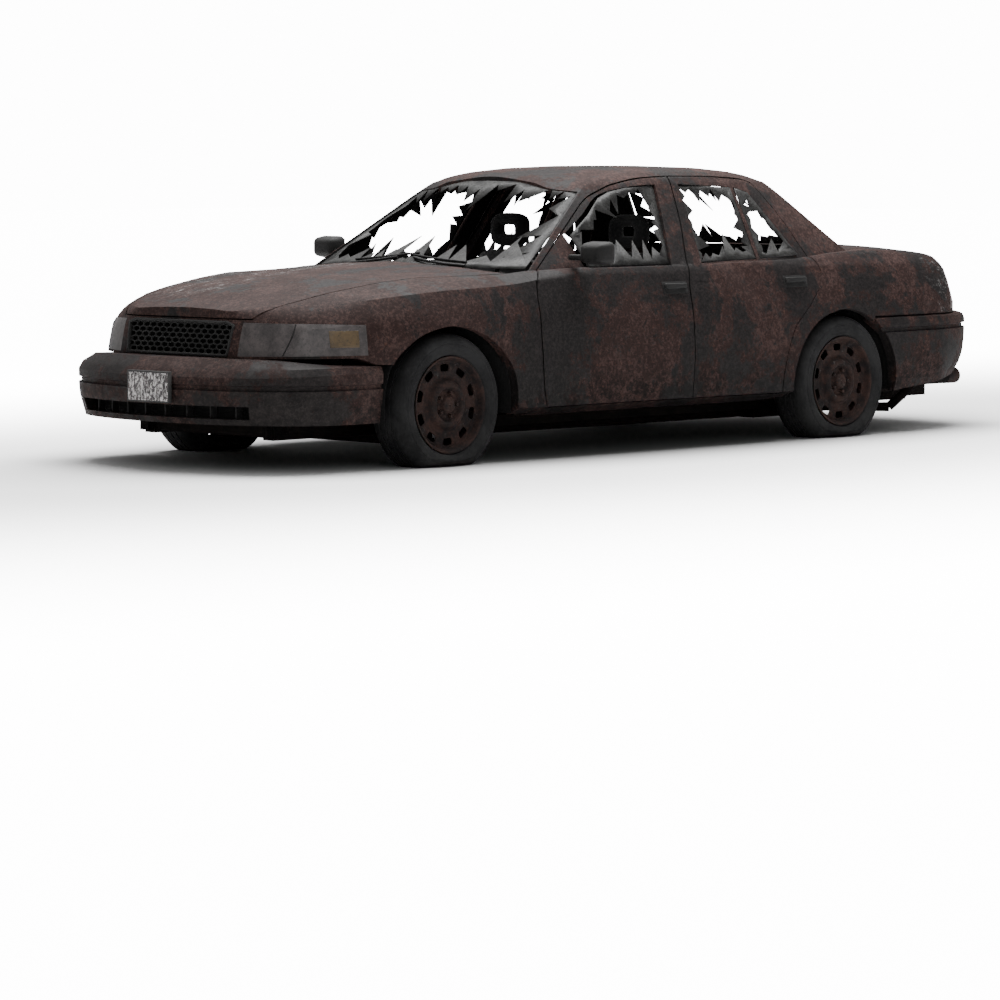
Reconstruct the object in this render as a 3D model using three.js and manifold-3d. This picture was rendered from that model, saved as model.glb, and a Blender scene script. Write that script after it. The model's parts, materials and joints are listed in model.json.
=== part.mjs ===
import * as THREE from 'three';
import { mergeVertices } from 'three/addons/utils/BufferGeometryUtils.js';
import Module from 'manifold-3d';

// Rusty wreck of a full-size four-door saloon, in millimetres.
// +X runs to the rear, the car's left side is -Y, +Z is up and the tyres stand on z = 0.

// Driving dimensions
const WHEELBASE = 2913;
const FRONT_OVERHANG = 1159;
const REAR_OVERHANG = 1358;
const HALF_WIDTH = 947;
const WHEEL_TUCK = 137;
const WHEEL_Y = HALF_WIDTH - WHEEL_TUCK;
const HUB_HEIGHT = 297;
const TYRE_RADIUS = 345;
const TYRE_HALF_WIDTH = 114;
const RIM_RADIUS = 238;
const PANEL_GAP = 7;
const FIT = 0.3;
const DOOR_THICKNESS = 60;
const ROOF_THICKNESS = 35;
const GLASS_THICKNESS = 6;
const STEER_OFFSET = 70;
const STEER_AXIS_Y = WHEEL_Y - STEER_OFFSET;
const SPINDLE_RADIUS = 30;
const KNUCKLE_BOTTOM = 130;
const SILL_BOTTOM = 215;
const FLOOR_TOP = 240;
const PLATE_PROUD = 20;
const PLATE_SIZE = [305, 152];

const FRONT_AXLE = (FRONT_OVERHANG - REAR_OVERHANG - WHEELBASE) / 2;
const REAR_AXLE = FRONT_AXLE + WHEELBASE;

// The tables are drawn about the middle of this wheelbase and half width; the stretch
// between the axles follows WHEELBASE, the nose and tail keep their distance to their axle.
const DRAWN_AXLE = 1456.5;
const DRAWN_HALF_WIDTH = 947;

function along(x) {
  if (x < -DRAWN_AXLE) return FRONT_AXLE + x + DRAWN_AXLE;
  if (x > DRAWN_AXLE) return REAR_AXLE + x - DRAWN_AXLE;
  return FRONT_AXLE + (x + DRAWN_AXLE) * WHEELBASE / (2 * DRAWN_AXLE);
}

function across(y) {
  return y * HALF_WIDTH / DRAWN_HALF_WIDTH;
}

// Solids: meshes in and out of the boolean library

const wasm = await Module();
wasm.setup();

function solidOf(geometry) {
  const bare = geometry.clone();
  bare.deleteAttribute('normal');
  bare.deleteAttribute('uv');
  const merged = mergeVertices(bare, 1e-3);
  const index = merged.index.array;
  const faces = [];
  for (let i = 0; i < index.length; i += 3) {
    const [a, b, c] = [index[i], index[i + 1], index[i + 2]];
    if (a !== b && b !== c && c !== a) faces.push(a, b, c);
  }
  return new wasm.Manifold(new wasm.Mesh({
    numProp: 3,
    vertProperties: new Float32Array(merged.attributes.position.array),
    triVerts: new Uint32Array(faces),
  }));
}

function geometryOf(solid) {
  const { vertProperties, triVerts } = solid.getMesh();
  const geometry = new THREE.BufferGeometry();
  geometry.setAttribute('position', new THREE.BufferAttribute(vertProperties, 3));
  geometry.setIndex(new THREE.BufferAttribute(triVerts, 1));
  geometry.computeVertexNormals();
  return geometry;
}

// The biggest piece of a solid that a cut has parted
function largest(solid) {
  const pieces = solid.decompose();
  return pieces.reduce((best, piece) => (piece.volume() > best.volume() ? piece : best));
}

function join(...solids) {
  return solids.reduce((sum, solid) => sum.add(solid));
}

function mirrored(solid) {
  return solid.scale([1, -1, 1]);
}

function bothSides(solid) {
  return solid.add(mirrored(solid));
}

// Shapes

function area(points) {
  return THREE.ShapeUtils.area(points);
}

// A closed skin through rings of [x, y, z] points; its end caps are filled as seen along one axis
function loft(rings, capAxis) {
  const count = rings[0].length;
  const corners = rings.flat(2);
  const faces = [];
  for (let r = 0; r + 1 < rings.length; r += 1) {
    for (let i = 0; i < count; i += 1) {
      const j = (i + 1) % count;
      const [a, b] = [r * count + i, r * count + j];
      faces.push(a, b, b + count, a, b + count, a + count);
    }
  }
  for (const [ring, first, out] of [[rings[0], 0, false], [rings.at(-1), (rings.length - 1) * count, true]]) {
    const spans = [0, 1, 2].map((k) => {
      const values = ring.map((p) => p[k]);
      return Math.max(...values) - Math.min(...values);
    });
    const flat = capAxis ?? spans.indexOf(Math.min(...spans));
    const [u, v] = [0, 1, 2].filter((k) => k !== flat);
    const outline = ring.map((p) => new THREE.Vector2(p[u], p[v]));
    const cap = THREE.ShapeUtils.triangulateShape(outline, []);
    const capArea = cap.reduce((sum, face) => sum + area(face.map((k) => outline[k])), 0);
    const same = Math.sign(capArea) === Math.sign(area(outline));
    for (const [a, b, c] of cap) {
      const face = same === out ? [a, b, c] : [a, c, b];
      faces.push(...face.map((k) => k + first));
    }
  }
  const geometry = new THREE.BufferGeometry();
  geometry.setAttribute('position', new THREE.Float32BufferAttribute(corners, 3));
  geometry.setIndex(faces);
  const solid = solidOf(geometry);
  if (solid.volume() > 0) return solid;
  geometry.setIndex([...faces].reverse());
  return solidOf(geometry);
}

function block(x0, x1, y0, y1, z0, z1) {
  const geometry = new THREE.BoxGeometry(x1 - x0, y1 - y0, z1 - z0);
  geometry.translate((x0 + x1) / 2, (y0 + y1) / 2, (z0 + z1) / 2);
  return solidOf(geometry);
}

// An outline of [x, z] points drawn from y0 to y1
function sidePrism(outline, y0, y1) {
  return loft([y0, y1].map((y) => outline.map(([x, z]) => [x, y, z])));
}

// An outline of [x, y] points drawn from z0 to z1
function planPrism(outline, z0, z1) {
  return loft([z0, z1].map((z) => outline.map(([x, y]) => [x, y, z])));
}

// An outline of [y, z] points drawn from x0 to x1
function rearPrism(outline, x0, x1) {
  return loft([x0, x1].map((x) => outline.map(([y, z]) => [x, y, z])));
}

function rodAcross(x, z, radius, y0, y1, segments = 24) {
  const geometry = new THREE.CylinderGeometry(radius, radius, y1 - y0, segments);
  geometry.translate(x, (y0 + y1) / 2, z);
  return solidOf(geometry);
}

// A round bar between two points
function bar(from, to, radius, segments = 8) {
  const start = new THREE.Vector3(...from);
  const end = new THREE.Vector3(...to);
  const geometry = new THREE.CylinderGeometry(radius, radius, start.distanceTo(end), segments);
  const turn = new THREE.Quaternion().setFromUnitVectors(
    new THREE.Vector3(0, 1, 0), end.clone().sub(start).normalize());
  geometry.applyQuaternion(turn);
  geometry.translate(...start.add(end).multiplyScalar(0.5).toArray());
  return solidOf(geometry);
}

// An outline moved outwards by a distance, corner by corner
function grow(outline, distance) {
  const points = outline.map(([x, z]) => new THREE.Vector2(x, z));
  const turn = Math.sign(area(points));
  return points.map((point, i) => {
    const before = points.at(i - 1);
    const after = points[(i + 1) % points.length];
    const normals = [[before, point], [point, after]].map(([a, b]) => {
      const edge = b.clone().sub(a).normalize();
      return new THREE.Vector2(edge.y, -edge.x).multiplyScalar(turn);
    });
    const middle = normals[0].clone().add(normals[1]).normalize();
    const stretch = distance / middle.dot(normals[0]);
    return [point.x + middle.x * stretch, point.y + middle.y * stretch];
  });
}

function valueAt(table, at) {
  const next = Math.max(1, table.findIndex(([key]) => key >= at));
  const [[k0, v0], [k1, v1]] = [table[next - 1], table[next]];
  return v0 + (v1 - v0) * (at - k0) / (k1 - k0);
}

// Both halves alike to the last facet
function evened(solid) {
  return bothSides(solid.intersect(block(-4000, 4000, 0, 2000, -2000, 2000)));
}

// Outer shape of the lower body: cross-sections from nose to tail.
// Columns: drawn x, half width, waist height and inset, shoulder height and inset,
// top edge y and z, centre z, lean of the section in x for each mm of height.
const SECTIONS = [
  [-2400, 400, 650, 10, 735, 55, 310, 760, 771, 0.2],
  [-2372, 490, 655, 12, 742, 70, 370, 764, 777, 0.2],
  [-2320, 600, 662, 14, 750, 85, 430, 773, 788, 0.2],
  [-2240, 700, 672, 14, 760, 98, 500, 790, 806, 0.18],
  [-2140, 775, 684, 14, 775, 100, 550, 812, 828, 0.16],
  [-2040, 830, 692, 15, 790, 98, 575, 832, 846, 0.13],
  [-1945, 876, 696, 16, 805, 92, 590, 848, 864, 0.1],
  [-1800, 915, 700, 16, 820, 88, 617, 868, 886, 0.06],
  [-1650, 938, 695, 15, 833, 84, 648, 888, 903, 0.03],
  [-1456, 947, 685, 14, 845, 80, 687, 904, 921, 0],
  [-1150, 947, 680, 14, 855, 76, 740, 908, 946, 0],
  [-960, 947, 680, 14, 866, 74, 765, 914, 962, 0],
  [-800, 947, 680, 14, 885, 76, 790, 924, 950, 0],
  [-400, 947, 680, 14, 900, 79, 838, 935, 936, 0],
  [400, 947, 680, 14, 902, 80, 840, 936, 936, 0],
  [1150, 947, 680, 14, 905, 84, 828, 944, 944, 0],
  [1457, 946, 680, 14, 908, 88, 800, 965, 985, 0],
  [1800, 938, 680, 14, 908, 88, 768, 981, 1006, 0],
  [2100, 924, 680, 14, 903, 86, 752, 972, 1004, 0],
  [2300, 905, 680, 14, 895, 84, 738, 958, 998, 0],
  [2450, 862, 680, 12, 884, 76, 715, 938, 986, -0.05],
  [2550, 790, 680, 10, 868, 66, 650, 918, 968, -0.09],
  [2630, 680, 680, 8, 850, 52, 545, 898, 944, -0.12],
  [2690, 500, 680, 6, 840, 36, 400, 880, 918, -0.12],
  [2716, 330, 680, 4, 835, 22, 260, 870, 900, -0.12],
];
const LEAN_FROM = 550;

// Ring points of the side below the waist: inset from the half width, height
const SIDE_LOWER = [[132, SILL_BOTTOM], [12, 262], [0, 450]];

// Inner surfaces are drawn through every other section
function bodySolid(inset, bottom = SILL_BOTTOM, coarse = inset >= DOOR_THICKNESS) {
  const sections = coarse ? SECTIONS.filter((_, i) => i % 2 === 0) : SECTIONS;
  const rings = sections.map(([x, w, waistZ, waistIn, topZ, topIn, edgeY, edgeZ, middleZ, lean]) => {
    const lower = SIDE_LOWER.map(([inward, z]) => [w - inward - inset, z === SILL_BOTTOM ? bottom : z]);
    const half = [
      [0, bottom],
      ...lower,
      [w - waistIn - inset, waistZ],
      [w - waistIn - (topIn - waistIn) * 0.4 - inset, (waistZ + topZ) / 2],
      [w - topIn - inset, topZ - inset * 0.4],
      [(w - topIn) * 0.35 + edgeY * 0.65 - inset * 0.7, topZ * 0.3 + edgeZ * 0.7 + 4 - inset * 0.8],
      [edgeY - inset * 0.6, edgeZ - inset],
      [edgeY * 0.55, edgeZ * 0.4 + middleZ * 0.6 - inset],
      [0, middleZ - inset],
    ];
    const ring = [...half, ...half.slice(1, -1).reverse().map(([y, z]) => [-y, z])];
    const start = along(x) + (x < 0 ? inset : -inset) * (Math.abs(x) > 1900 ? 1 : 0);
    return ring.map(([y, z]) => [start + lean * (z - LEAN_FROM), across(y), z]);
  });
  return evened(loft(rings));
}

// Outer shape of the greenhouse: level rings from the belt to the roof.
// Columns: z, screen middle x, screen corner x and y, side y, rear side x and y,
// rear corner x and y, rear middle x.
const LEVELS = [
  [850, -1063, -886, 814, 888, 1290, 862, 1823, 800, 1960],
  [931, -943, -765, 772, 846, 1280, 820, 1735, 764, 1876],
  [1000, -841, -661, 736, 809, 1240, 782, 1660, 722, 1794],
  [1100, -693, -511, 684, 757, 1200, 729, 1551, 660, 1669],
  [1200, -545, -362, 631, 703, 1150, 675, 1443, 598, 1545],
  [1300, -397, -212, 579, 645, 1090, 616, 1334, 536, 1425],
  [1345, -333, -140, 550, 619, 1050, 586, 1278, 504, 1372],
  [1375, -286, -70, 512, 594, 1010, 556, 1215, 462, 1330],
  [1400, -200, 20, 438, 545, 960, 500, 1130, 390, 1285],
  [1420, 30, 170, 310, 420, 900, 360, 1000, 260, 1040],
  [1432, 330, 400, 120, 170, 700, 140, 740, 90, 760],
];
const PILLAR_X = 380;

function greenhouseSolid(inset) {
  const rings = LEVELS.map(([z, fx, kx, ky, sideY, rx, ry, cx, cy, mx]) => {
    const half = [
      [fx + inset * 1.4, 0],
      [fx + (kx - fx) * 0.3 + inset * 1.4, ky * 0.55],
      [kx + inset, ky - inset * 0.7],
      [kx + (PILLAR_X - kx) * 0.4, ky + (sideY - ky) * 0.72 - inset],
      [PILLAR_X, sideY - inset],
      [rx, ry - inset],
      [cx - inset, cy - inset * 0.7],
      [mx - (mx - cx) * 0.3 - inset * 1.2, cy * 0.55],
      [mx - inset * 1.2, 0],
    ];
    const ring = [...half, ...half.slice(1, -1).reverse().map(([x, y]) => [x, -y])];
    const drop = z > 1320 ? inset : 0;
    return ring.map(([x, y]) => [along(x), across(y), z - drop]);
  });
  return evened(loft(rings));
}

const OUTER = bodySolid(0).add(greenhouseSolid(0));

function innerSolid(clearance = 0) {
  return bodySolid(DOOR_THICKNESS + clearance, 100).add(greenhouseSolid(ROOF_THICKNESS + clearance));
}
const INNER = innerSolid();
const INSIDE = innerSolid(FIT);

// Half width of the skin beside the doors by height
const SKIN = [[0, 905], [215, 905], [262, 935], [450, 947], [680, 933], [815, 902], [902, 867], [931, 846],
  [1100, 757], [1300, 645], [1345, 619], [1380, 590], [1500, 480]];

// Shares of an edge where it crosses the heights of the skin table
function levelShares([, z0], [, z1]) {
  return SKIN.map(([z]) => (z - z0) / (z1 - z0)).filter((share) => share > 0.04 && share < 0.96)
    .sort((a, b) => a - b);
}

// A block whose side outline of [x, z] points lies at the skin and tapers inwards, from one
// depth under the skin to another. Points added along an edge lie a hair off it, so that
// the end caps keep them.
const BEND = 0.03;

function skinBlock(outline, outside, inside, taper = 0) {
  const rings = [outside, -inside].map((depth) => {
    const ring = taper ? grow(outline, depth * taper) : outline;
    return ring.flatMap((start, i) => {
      const next = (i + 1) % ring.length;
      const shares = [0, ...levelShares(outline[i], outline[next])];
      return shares.map((share, k) => {
        const level = outline[i][1] + (outline[next][1] - outline[i][1]) * share;
        const [x, z] = [0, 1].map((axis) => start[axis] + (ring[next][axis] - start[axis]) * share);
        return [x + BEND * k, across(valueAt(SKIN, level)) + depth, z];
      });
    });
  });
  return loft(rings, 1);
}

function drawn(outline) {
  return outline.map(([x, z]) => [along(x), z]);
}

// Doors and windows, side outlines of drawn x and z
const SEAM_B = [[255, 256], [262, 500], [268, 800], [310, 930], [378, 1135], [440, 1384]];
const FRONT_DOOR = drawn([[-807, 256], [-840, 380], [-850, 620], [-845, 790], [-825, 870], [-769, 924],
  [-490, 1106], [-205, 1289], [-14, 1346], [187, 1374], ...[...SEAM_B].reverse()]);
const REAR_DOOR = drawn([...SEAM_B, [766, 1386], [1048, 1372], [1112, 1355], [1233, 1142], [1315, 930],
  [1330, 870], [1280, 790], [1180, 703], [1050, 600], [985, 470], [958, 370], [950, 250]]).reverse();
const FRONT_WINDOW = drawn([[-410, 930], [-450, 1095], [-265, 1194], [-141, 1277], [-49, 1307], [114, 1331],
  [310, 1340], [198, 932]]);
const REAR_WINDOW = drawn([[426, 938], [486, 1340], [893, 1322], [872, 948]]);
const QUARTER_WINDOW = drawn([[899, 950], [919, 1319], [1010, 1296], [1214, 962]]);
const DOOR_TAPER = 0.36;

function doorCut(outline) {
  return skinBlock(grow(outline, PANEL_GAP / 2), 60, 130, DOOR_TAPER);
}

function doorPanel(outline, windows) {
  let panel = OUTER.subtract(INNER).intersect(skinBlock(grow(outline, -PANEL_GAP / 2), 60, 110, DOOR_TAPER));
  for (const window of windows) panel = panel.subtract(skinBlock(window, 80, 150));
  return largest(panel);
}

const DOOR_CUTS = bothSides(doorCut(FRONT_DOOR).add(doorCut(REAR_DOOR)));

// Wheel arches: an ellipse in the skin over a round well
// Columns: axle x, drawn arch half length, well radius, well inner wall y
const ARCH_TOP = 380;
const ARCHES = [
  [FRONT_AXLE, 445, 425, 505],
  [REAR_AXLE, 420, 402, 640],
];

function archCut([x, halfLength, wellRadius, wallY]) {
  const steps = 14;
  const arc = Array.from({ length: steps + 1 }, (_, i) => {
    const turn = Math.PI * i / steps;
    return [x + halfLength * Math.cos(turn), HUB_HEIGHT + ARCH_TOP * Math.sin(turn)];
  });
  const lip = sidePrism([...arc, [x - halfLength, 50], [x + halfLength, 50]], WHEEL_Y, HALF_WIDTH + 100);
  const well = rodAcross(x, HUB_HEIGHT, wellRadius, wallY, HALF_WIDTH - DOOR_THICKNESS, 32);
  const below = block(x - wellRadius, x + wellRadius, wallY, HALF_WIDTH - DOOR_THICKNESS, 20, HUB_HEIGHT);
  return bothSides(join(lip, well, below));
}
const ARCH_CUTS = join(...ARCHES.map(archCut));

// Hood: its side gap line in plan, columns drawn x and y
const HOOD_LINE = [[-2460, 380], [-2330, 455], [-2273, 500], [-2112, 560], [-1774, 620], [-1441, 690],
  [-1148, 740], [-925, 772]];
const HOOD_REAR_MIDDLE = -965;
const HOOD_THICKNESS = 45;
const TROUGH_DEPTH = 70;

function symmetric(points) {
  const there = points.map(([x, y]) => [along(x), across(y)]);
  const back = [...there].reverse().map(([x, y]) => [x, -y]);
  return [...there, ...back];
}

const HOOD_PLAN = symmetric([...HOOD_LINE, [HOOD_REAR_MIDDLE + 12, 420], [HOOD_REAR_MIDDLE, 150]]);
const HOOD_AXIS_X = along(-925);
const HOOD_AXIS_Z = 925;

const HOOD_LIP_Z = 722;
const HOOD_UNDERSIDE = bodySolid(0, SILL_BOTTOM, true);

function hoodRegion(gap) {
  const nose = block(along(-2600), along(-2240), -HALF_WIDTH, HALF_WIDTH, 0, HOOD_LIP_Z - gap);
  return planPrism(grow(HOOD_PLAN, gap), 600, 1100).subtract(nose);
}

function hoodSolid() {
  const shape = bodySolid(0).subtract(HOOD_UNDERSIDE.translate([0, 0, -HOOD_THICKNESS]));
  return largest(shape.intersect(hoodRegion(-PANEL_GAP / 2)));
}
const HOOD_CUT = hoodRegion(PANEL_GAP / 2)
  .intersect(bodySolid(0).translate([0, 0, 200]).add(bodySolid(0)))
  .subtract(HOOD_UNDERSIDE.translate([0, 0, -HOOD_THICKNESS - PANEL_GAP]));

// Boot lid: top plan of drawn x and y, and its rear face between the lamps
const LID_PLAN_HALF = [[1708, 700], [2100, 700], [2480, 672], [2800, 640]];
const LID_FRONT_MIDDLE = 1838;
const LID_PLAN = symmetric([[LID_FRONT_MIDDLE - 45, 400], ...LID_PLAN_HALF].reverse()
  .concat([[LID_FRONT_MIDDLE, 130]]).reverse());
const LID_WING_Z = 906;
const LID_FACE_Y = 484;
const LID_FACE_X = 2400;
const LID_BOTTOM = 640;
const LID_AXIS_X = along(1700);
const LID_AXIS_Z = 985;
const CUT_PAST = 85.5;
const TAIL_REACH = REAR_AXLE + REAR_OVERHANG + CUT_PAST;

function lidRegion(gap) {
  const wing = planPrism(grow(LID_PLAN, gap), LID_WING_Z - gap, 1100);
  const face = block(along(LID_FACE_X) - gap, TAIL_REACH, -across(LID_FACE_Y) - gap,
    across(LID_FACE_Y) + gap, LID_BOTTOM - gap, 1100);
  return wing.add(face);
}

// Rear plate recess, outline of y and z
const RECESS = [[-300, 830], [300, 830], [182, 652], [-182, 652]];
const RECESS_DEPTH = 30;
const REAR_PLATE_Z = 738;

function lidSolid() {
  const lid = bodySolid(0).subtract(bodySolid(DOOR_THICKNESS, 100)).intersect(lidRegion(-PANEL_GAP / 2));
  const pocket = rearPrism(RECESS.map(([y, z]) => [across(y), z]), along(2600), TAIL_REACH)
    .subtract(bodySolid(RECESS_DEPTH));
  return largest(lid.subtract(pocket));
}
const LID_CUT = lidRegion(PANEL_GAP / 2);

// The plate lies on the floor of the recess
function rearPlate() {
  const [width, height] = PLATE_SIZE;
  const outline = [[-width / 2, REAR_PLATE_Z - height / 2], [width / 2, REAR_PLATE_Z - height / 2],
    [width / 2, REAR_PLATE_Z + height / 2], [-width / 2, REAR_PLATE_Z + height / 2]];
  return rearPrism(outline, along(2600), TAIL_REACH)
    .intersect(bodySolid(RECESS_DEPTH - 6)).subtract(bodySolid(RECESS_DEPTH - 1));
}

// Lamps: front outline of y and z drawn onto the nose, rear the same onto the tail
const LAMP_DEPTH = 70;
const HEADLAMP = [[424, 548], [892, 552], [892, 694], [700, 702], [560, 704], [424, 706]];
const HEADLAMP_REACH = -1953;
const TAIL_LAMP = [[548, 652], [598, 728], [650, 806], [694, 868], [728, 890], [800, 890], [868, 840], [890, 652]];
const TAIL_LAMP_START = 2400;

function lampRegion(outline, x0, x1, clearance) {
  const shape = grow(outline.map(([y, z]) => [across(y), z]), clearance);
  return bothSides(rearPrism(shape, x0, x1));
}
const HEADLAMP_CUT = lampRegion(HEADLAMP, along(-2500), along(HEADLAMP_REACH), FIT)
  .subtract(bodySolid(LAMP_DEPTH + 1.5));
// Seen from the side the tail lamp's front edge leans back
const TAIL_LAMP_EDGE = [[2415, 600], [2512, 960], [2900, 960], [2900, 600]];
const TAIL_LAMP_CUT = lampRegion(TAIL_LAMP, along(TAIL_LAMP_START), TAIL_REACH, FIT)
  .intersect(sidePrism(drawn(TAIL_LAMP_EDGE.map(([x, z]) => [x - FIT, z])), -HALF_WIDTH, HALF_WIDTH));

function lampSolid(outline, x0, x1, depth) {
  const region = lampRegion(outline, x0, x1, 0).intersect(block(x0, x1, 0, 2 * HALF_WIDTH, 0, 1000));
  return largest(region.intersect(bodySolid(0)).subtract(bodySolid(depth)));
}

// Grille opening, half outline of y and z, and its honeycomb
const GRILLE = [[-365, 541], [365, 541], [383, 694], [330, 710], [-330, 710], [-383, 694]];
const GRILLE_DEPTH = 45;
const MESH_BAR = 10;
const MESH_PITCH = [96, 48];

function grilleFrame(margin, depth) {
  const outline = grow(GRILLE.map(([y, z]) => [across(y), z]), margin);
  return rearPrism(outline, along(-2440), along(-2240)).intersect(bodySolid(-6)).subtract(bodySolid(depth));
}

function grilleSolid() {
  const bars = [];
  for (let column = -4; column <= 4; column += 1) {
    for (let row = -2; row <= 2; row += 1) {
      const y = column * MESH_PITCH[0] + (row % 2 ? MESH_PITCH[0] / 2 : 0);
      const z = 628 + row * MESH_PITCH[1];
      bars.push(hexagonHole(y, z));
    }
  }
  const holes = bars.reduce((sum, hole) => sum.add(hole))
    .intersect(rearPrism(grow(GRILLE.map(([y, z]) => [across(y), z]), -10), along(-2500), along(-2200)));
  return largest(grilleFrame(-FIT, GRILLE_DEPTH).subtract(holes));
}

function hexagonHole(y, z) {
  const [w, h] = [MESH_PITCH[0] / 2 - MESH_BAR / 2, MESH_PITCH[1] * 0.66 - MESH_BAR / 2];
  const outline = [[0, h], [w, h * 0.5], [w, -h * 0.5], [0, -h], [-w, -h * 0.5], [-w, h * 0.5]];
  return rearPrism(outline.map(([a, b]) => [y + a, z + b]), along(-2470), along(-2200));
}

// Bumpers: a section swept round a plan.
// Plan columns: drawn x, y, share of the side section
const FRONT_BUMPER_PLAN = [[-2595, 0, 0], [-2588, 200, 0], [-2555, 400, 0], [-2490, 600, 0.05],
  [-2395, 745, 0.2], [-2250, 850, 0.6], [-2080, 890, 0.9], [-1884, 893, 1]];
// Section columns: outward and z in front, outward and z at the side
const BUMPER_TOP = 538;
const REAR_BUMPER_TOP = 632;
const FRONT_BUMPER_SECTION = [[-178, BUMPER_TOP, -120, 500], [-95, 536, -60, 502], [-30, 490, -14, 500],
  [0, 452, 0, 470], [0, 418, 0, 418], [-14, 414, -14, 414], [-14, 394, -14, 394], [0, 390, 0, 390],
  [-5, 330, -5, 330], [-34, 228, -26, 228], [-74, 228, -66, 228], [-70, 430, -50, 430],
  [-140, 505, -100, 480]];
const REAR_BUMPER_PLAN = [[2815, 0, 0], [2808, 300, 0], [2785, 560, 0], [2730, 705, 0.06], [2640, 785, 0.2],
  [2500, 858, 0.42], [2300, 918, 0.65], [1880, 940, 1], [1702, 944, 1]];
const REAR_BUMPER_SECTION = [[-110, REAR_BUMPER_TOP, -110, REAR_BUMPER_TOP], [-40, 630, -40, 630],
  [-10, 616, -6, 618], [0, 590, 0, 590], [0, 571, 0, 568], [-14, 567, -14, 564], [-14, 549, -14, 546],
  [0, 545, 0, 542], [-6, 450, 0, 400], [-28, 376, -6, 300], [-66, 326, -26, 229], [-104, 326, -66, 229],
  [-84, 430, -62, 430], [-62, 530, -60, 530], [-104, 600, -104, 600]];

function sweptBumper(plan, section) {
  const there = plan.map(([x, y, side]) => [along(x), across(y), side]);
  const path = [...[...there].reverse().map(([x, y, side]) => [x, -y, side]), ...there.slice(1)];
  const outward = Math.sign(plan[0][0]);
  const rings = path.map(([x, y, side], i) => {
    const [x0, y0] = path[Math.max(i - 1, 0)];
    const [x1, y1] = path[Math.min(i + 1, path.length - 1)];
    const normal = new THREE.Vector2(y1 - y0, x0 - x1).normalize();
    if (Math.sign(normal.x) !== outward && i > 0 && i + 1 < path.length) normal.negate();
    if (i === 0 || i + 1 === path.length) normal.set(0, Math.sign(y));
    return section.map(([df, zf, ds, zs]) => {
      const d = df + (ds - df) * side;
      return [x + normal.x * d, y + normal.y * d, zf + (zs - zf) * side];
    });
  });
  return loft(rings);
}

// Intake slot in the front bumper, outline of y and z
const INTAKE = [[-590, 256], [590, 256], [600, 318], [-600, 318]];

// Line under which the front wing makes room for the bumper
const WING_LOWER = drawn([[-1780, 100], [-1780, 503], [-1925, 508], [-1985, BUMPER_TOP + FIT],
  [-2600, BUMPER_TOP + FIT], [-2600, 100]]);
const QUARTER_BOTTOM = REAR_BUMPER_TOP + FIT;
const QUARTER_START = 955;
const CAGE_REAR = 1840;
const DECK_SEAM = 965;
const HEADER_REAR = -2150;
const WING_REAR = -856;
const COWL_FRONT = HOOD_REAR_MIDDLE + 6;

const NOSE_CUTS = join(HOOD_CUT, HEADLAMP_CUT, grilleFrame(0, GRILLE_DEPTH + 3),
  bothSides(sidePrism(WING_LOWER, 0, 1100)));

function wingSolid() {
  const region = block(along(HEADER_REAR) + FIT, along(WING_REAR), across(400), across(1000), 200, 1000);
  return largest(OUTER.subtract(bodySolid(DOOR_THICKNESS, 100)).subtract(greenhouseSolid(-FIT))
    .intersect(region).subtract(NOSE_CUTS).subtract(ARCH_CUTS).subtract(cowlRegion(FIT))
    .subtract(doorCut(FRONT_DOOR)).subtract(hingePost(FIT)));
}

// An upright post inside the doors.
// Level columns: z, x from, x to, depth of its outer and inner face under the skin
function upright(levels) {
  return loft(levels.map(([z, x0, x1, outside, inside]) => {
    const skin = across(valueAt(SKIN, z));
    return [[x0, skin - inside, z], [x1, skin - inside, z], [x1, skin - outside, z], [x0, skin - outside, z]];
  }));
}

function hingePost(gap) {
  const [x0, x1] = [along(-904) - gap, along(-862) + gap];
  const levels = [POST_FOOT_Z[0] - gap, 450, 680, 815, 888 + gap];
  return upright(levels.map((z) => [z, x0, x1, DOOR_THICKNESS + 14 - gap, 118 + gap]));
}

function middlePost() {
  const levels = [[POST_FOOT_Z[0], 262], [450, 262], [680, 265], [815, 272], [931, 310], [1100, 364]];
  const low = levels.map(([z, x]) => [z, along(x) - POST_HALF, along(x) + POST_HALF, 80, 125]);
  const high = [[1300, 415, 100, 140], [1392, 440, 135, 185]].map(([z, x, outside, inside]) =>
    [z, along(x) - POST_HALF, along(x) + POST_HALF, outside, inside]);
  return upright([...low, ...high]);
}

function cowlRegion(gap) {
  return planPrism(grow(symmetric([[-700, 776], [-925 + 6, 776], [COWL_FRONT, 150]].reverse()), gap), 600, 1100);
}

// The nose panel carries grille and lamps; the bay behind it is open
function headerSolid() {
  const region = block(along(-2450), along(HEADER_REAR), -across(900), across(900), 400, 1000);
  const radiatorMouth = block(along(-2335), along(HEADER_REAR) + 50, -across(340), across(340), 400, 690);
  return largest(bodySolid(0).intersect(region).subtract(NOSE_CUTS).subtract(radiatorMouth));
}

// Windscreen and rear window openings
const SCREEN_EDGE = [[-1100, 800], [-768, 768], [-206, 566], [-258, 400], [-282, 0]];
const SCREEN_BOTTOM = 900;
const GLASS_BOTTOM = 925;

function screenOpening(margin) {
  const outline = symmetric(SCREEN_EDGE.slice(0, -1)).map(([x, y]) => [x, y]);
  return planPrism(grow(outline, margin), SCREEN_BOTTOM, 1500);
}

const BACKLIGHT_EDGE = [[1300, 380], [1318, 520], [1668, 712], [1980, 760]];
const BACKLIGHT_BOTTOM = 1000;

function backlightOpening(margin) {
  return planPrism(grow(symmetric(BACKLIGHT_EDGE), margin), BACKLIGHT_BOTTOM - margin, 1500);
}

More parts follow.
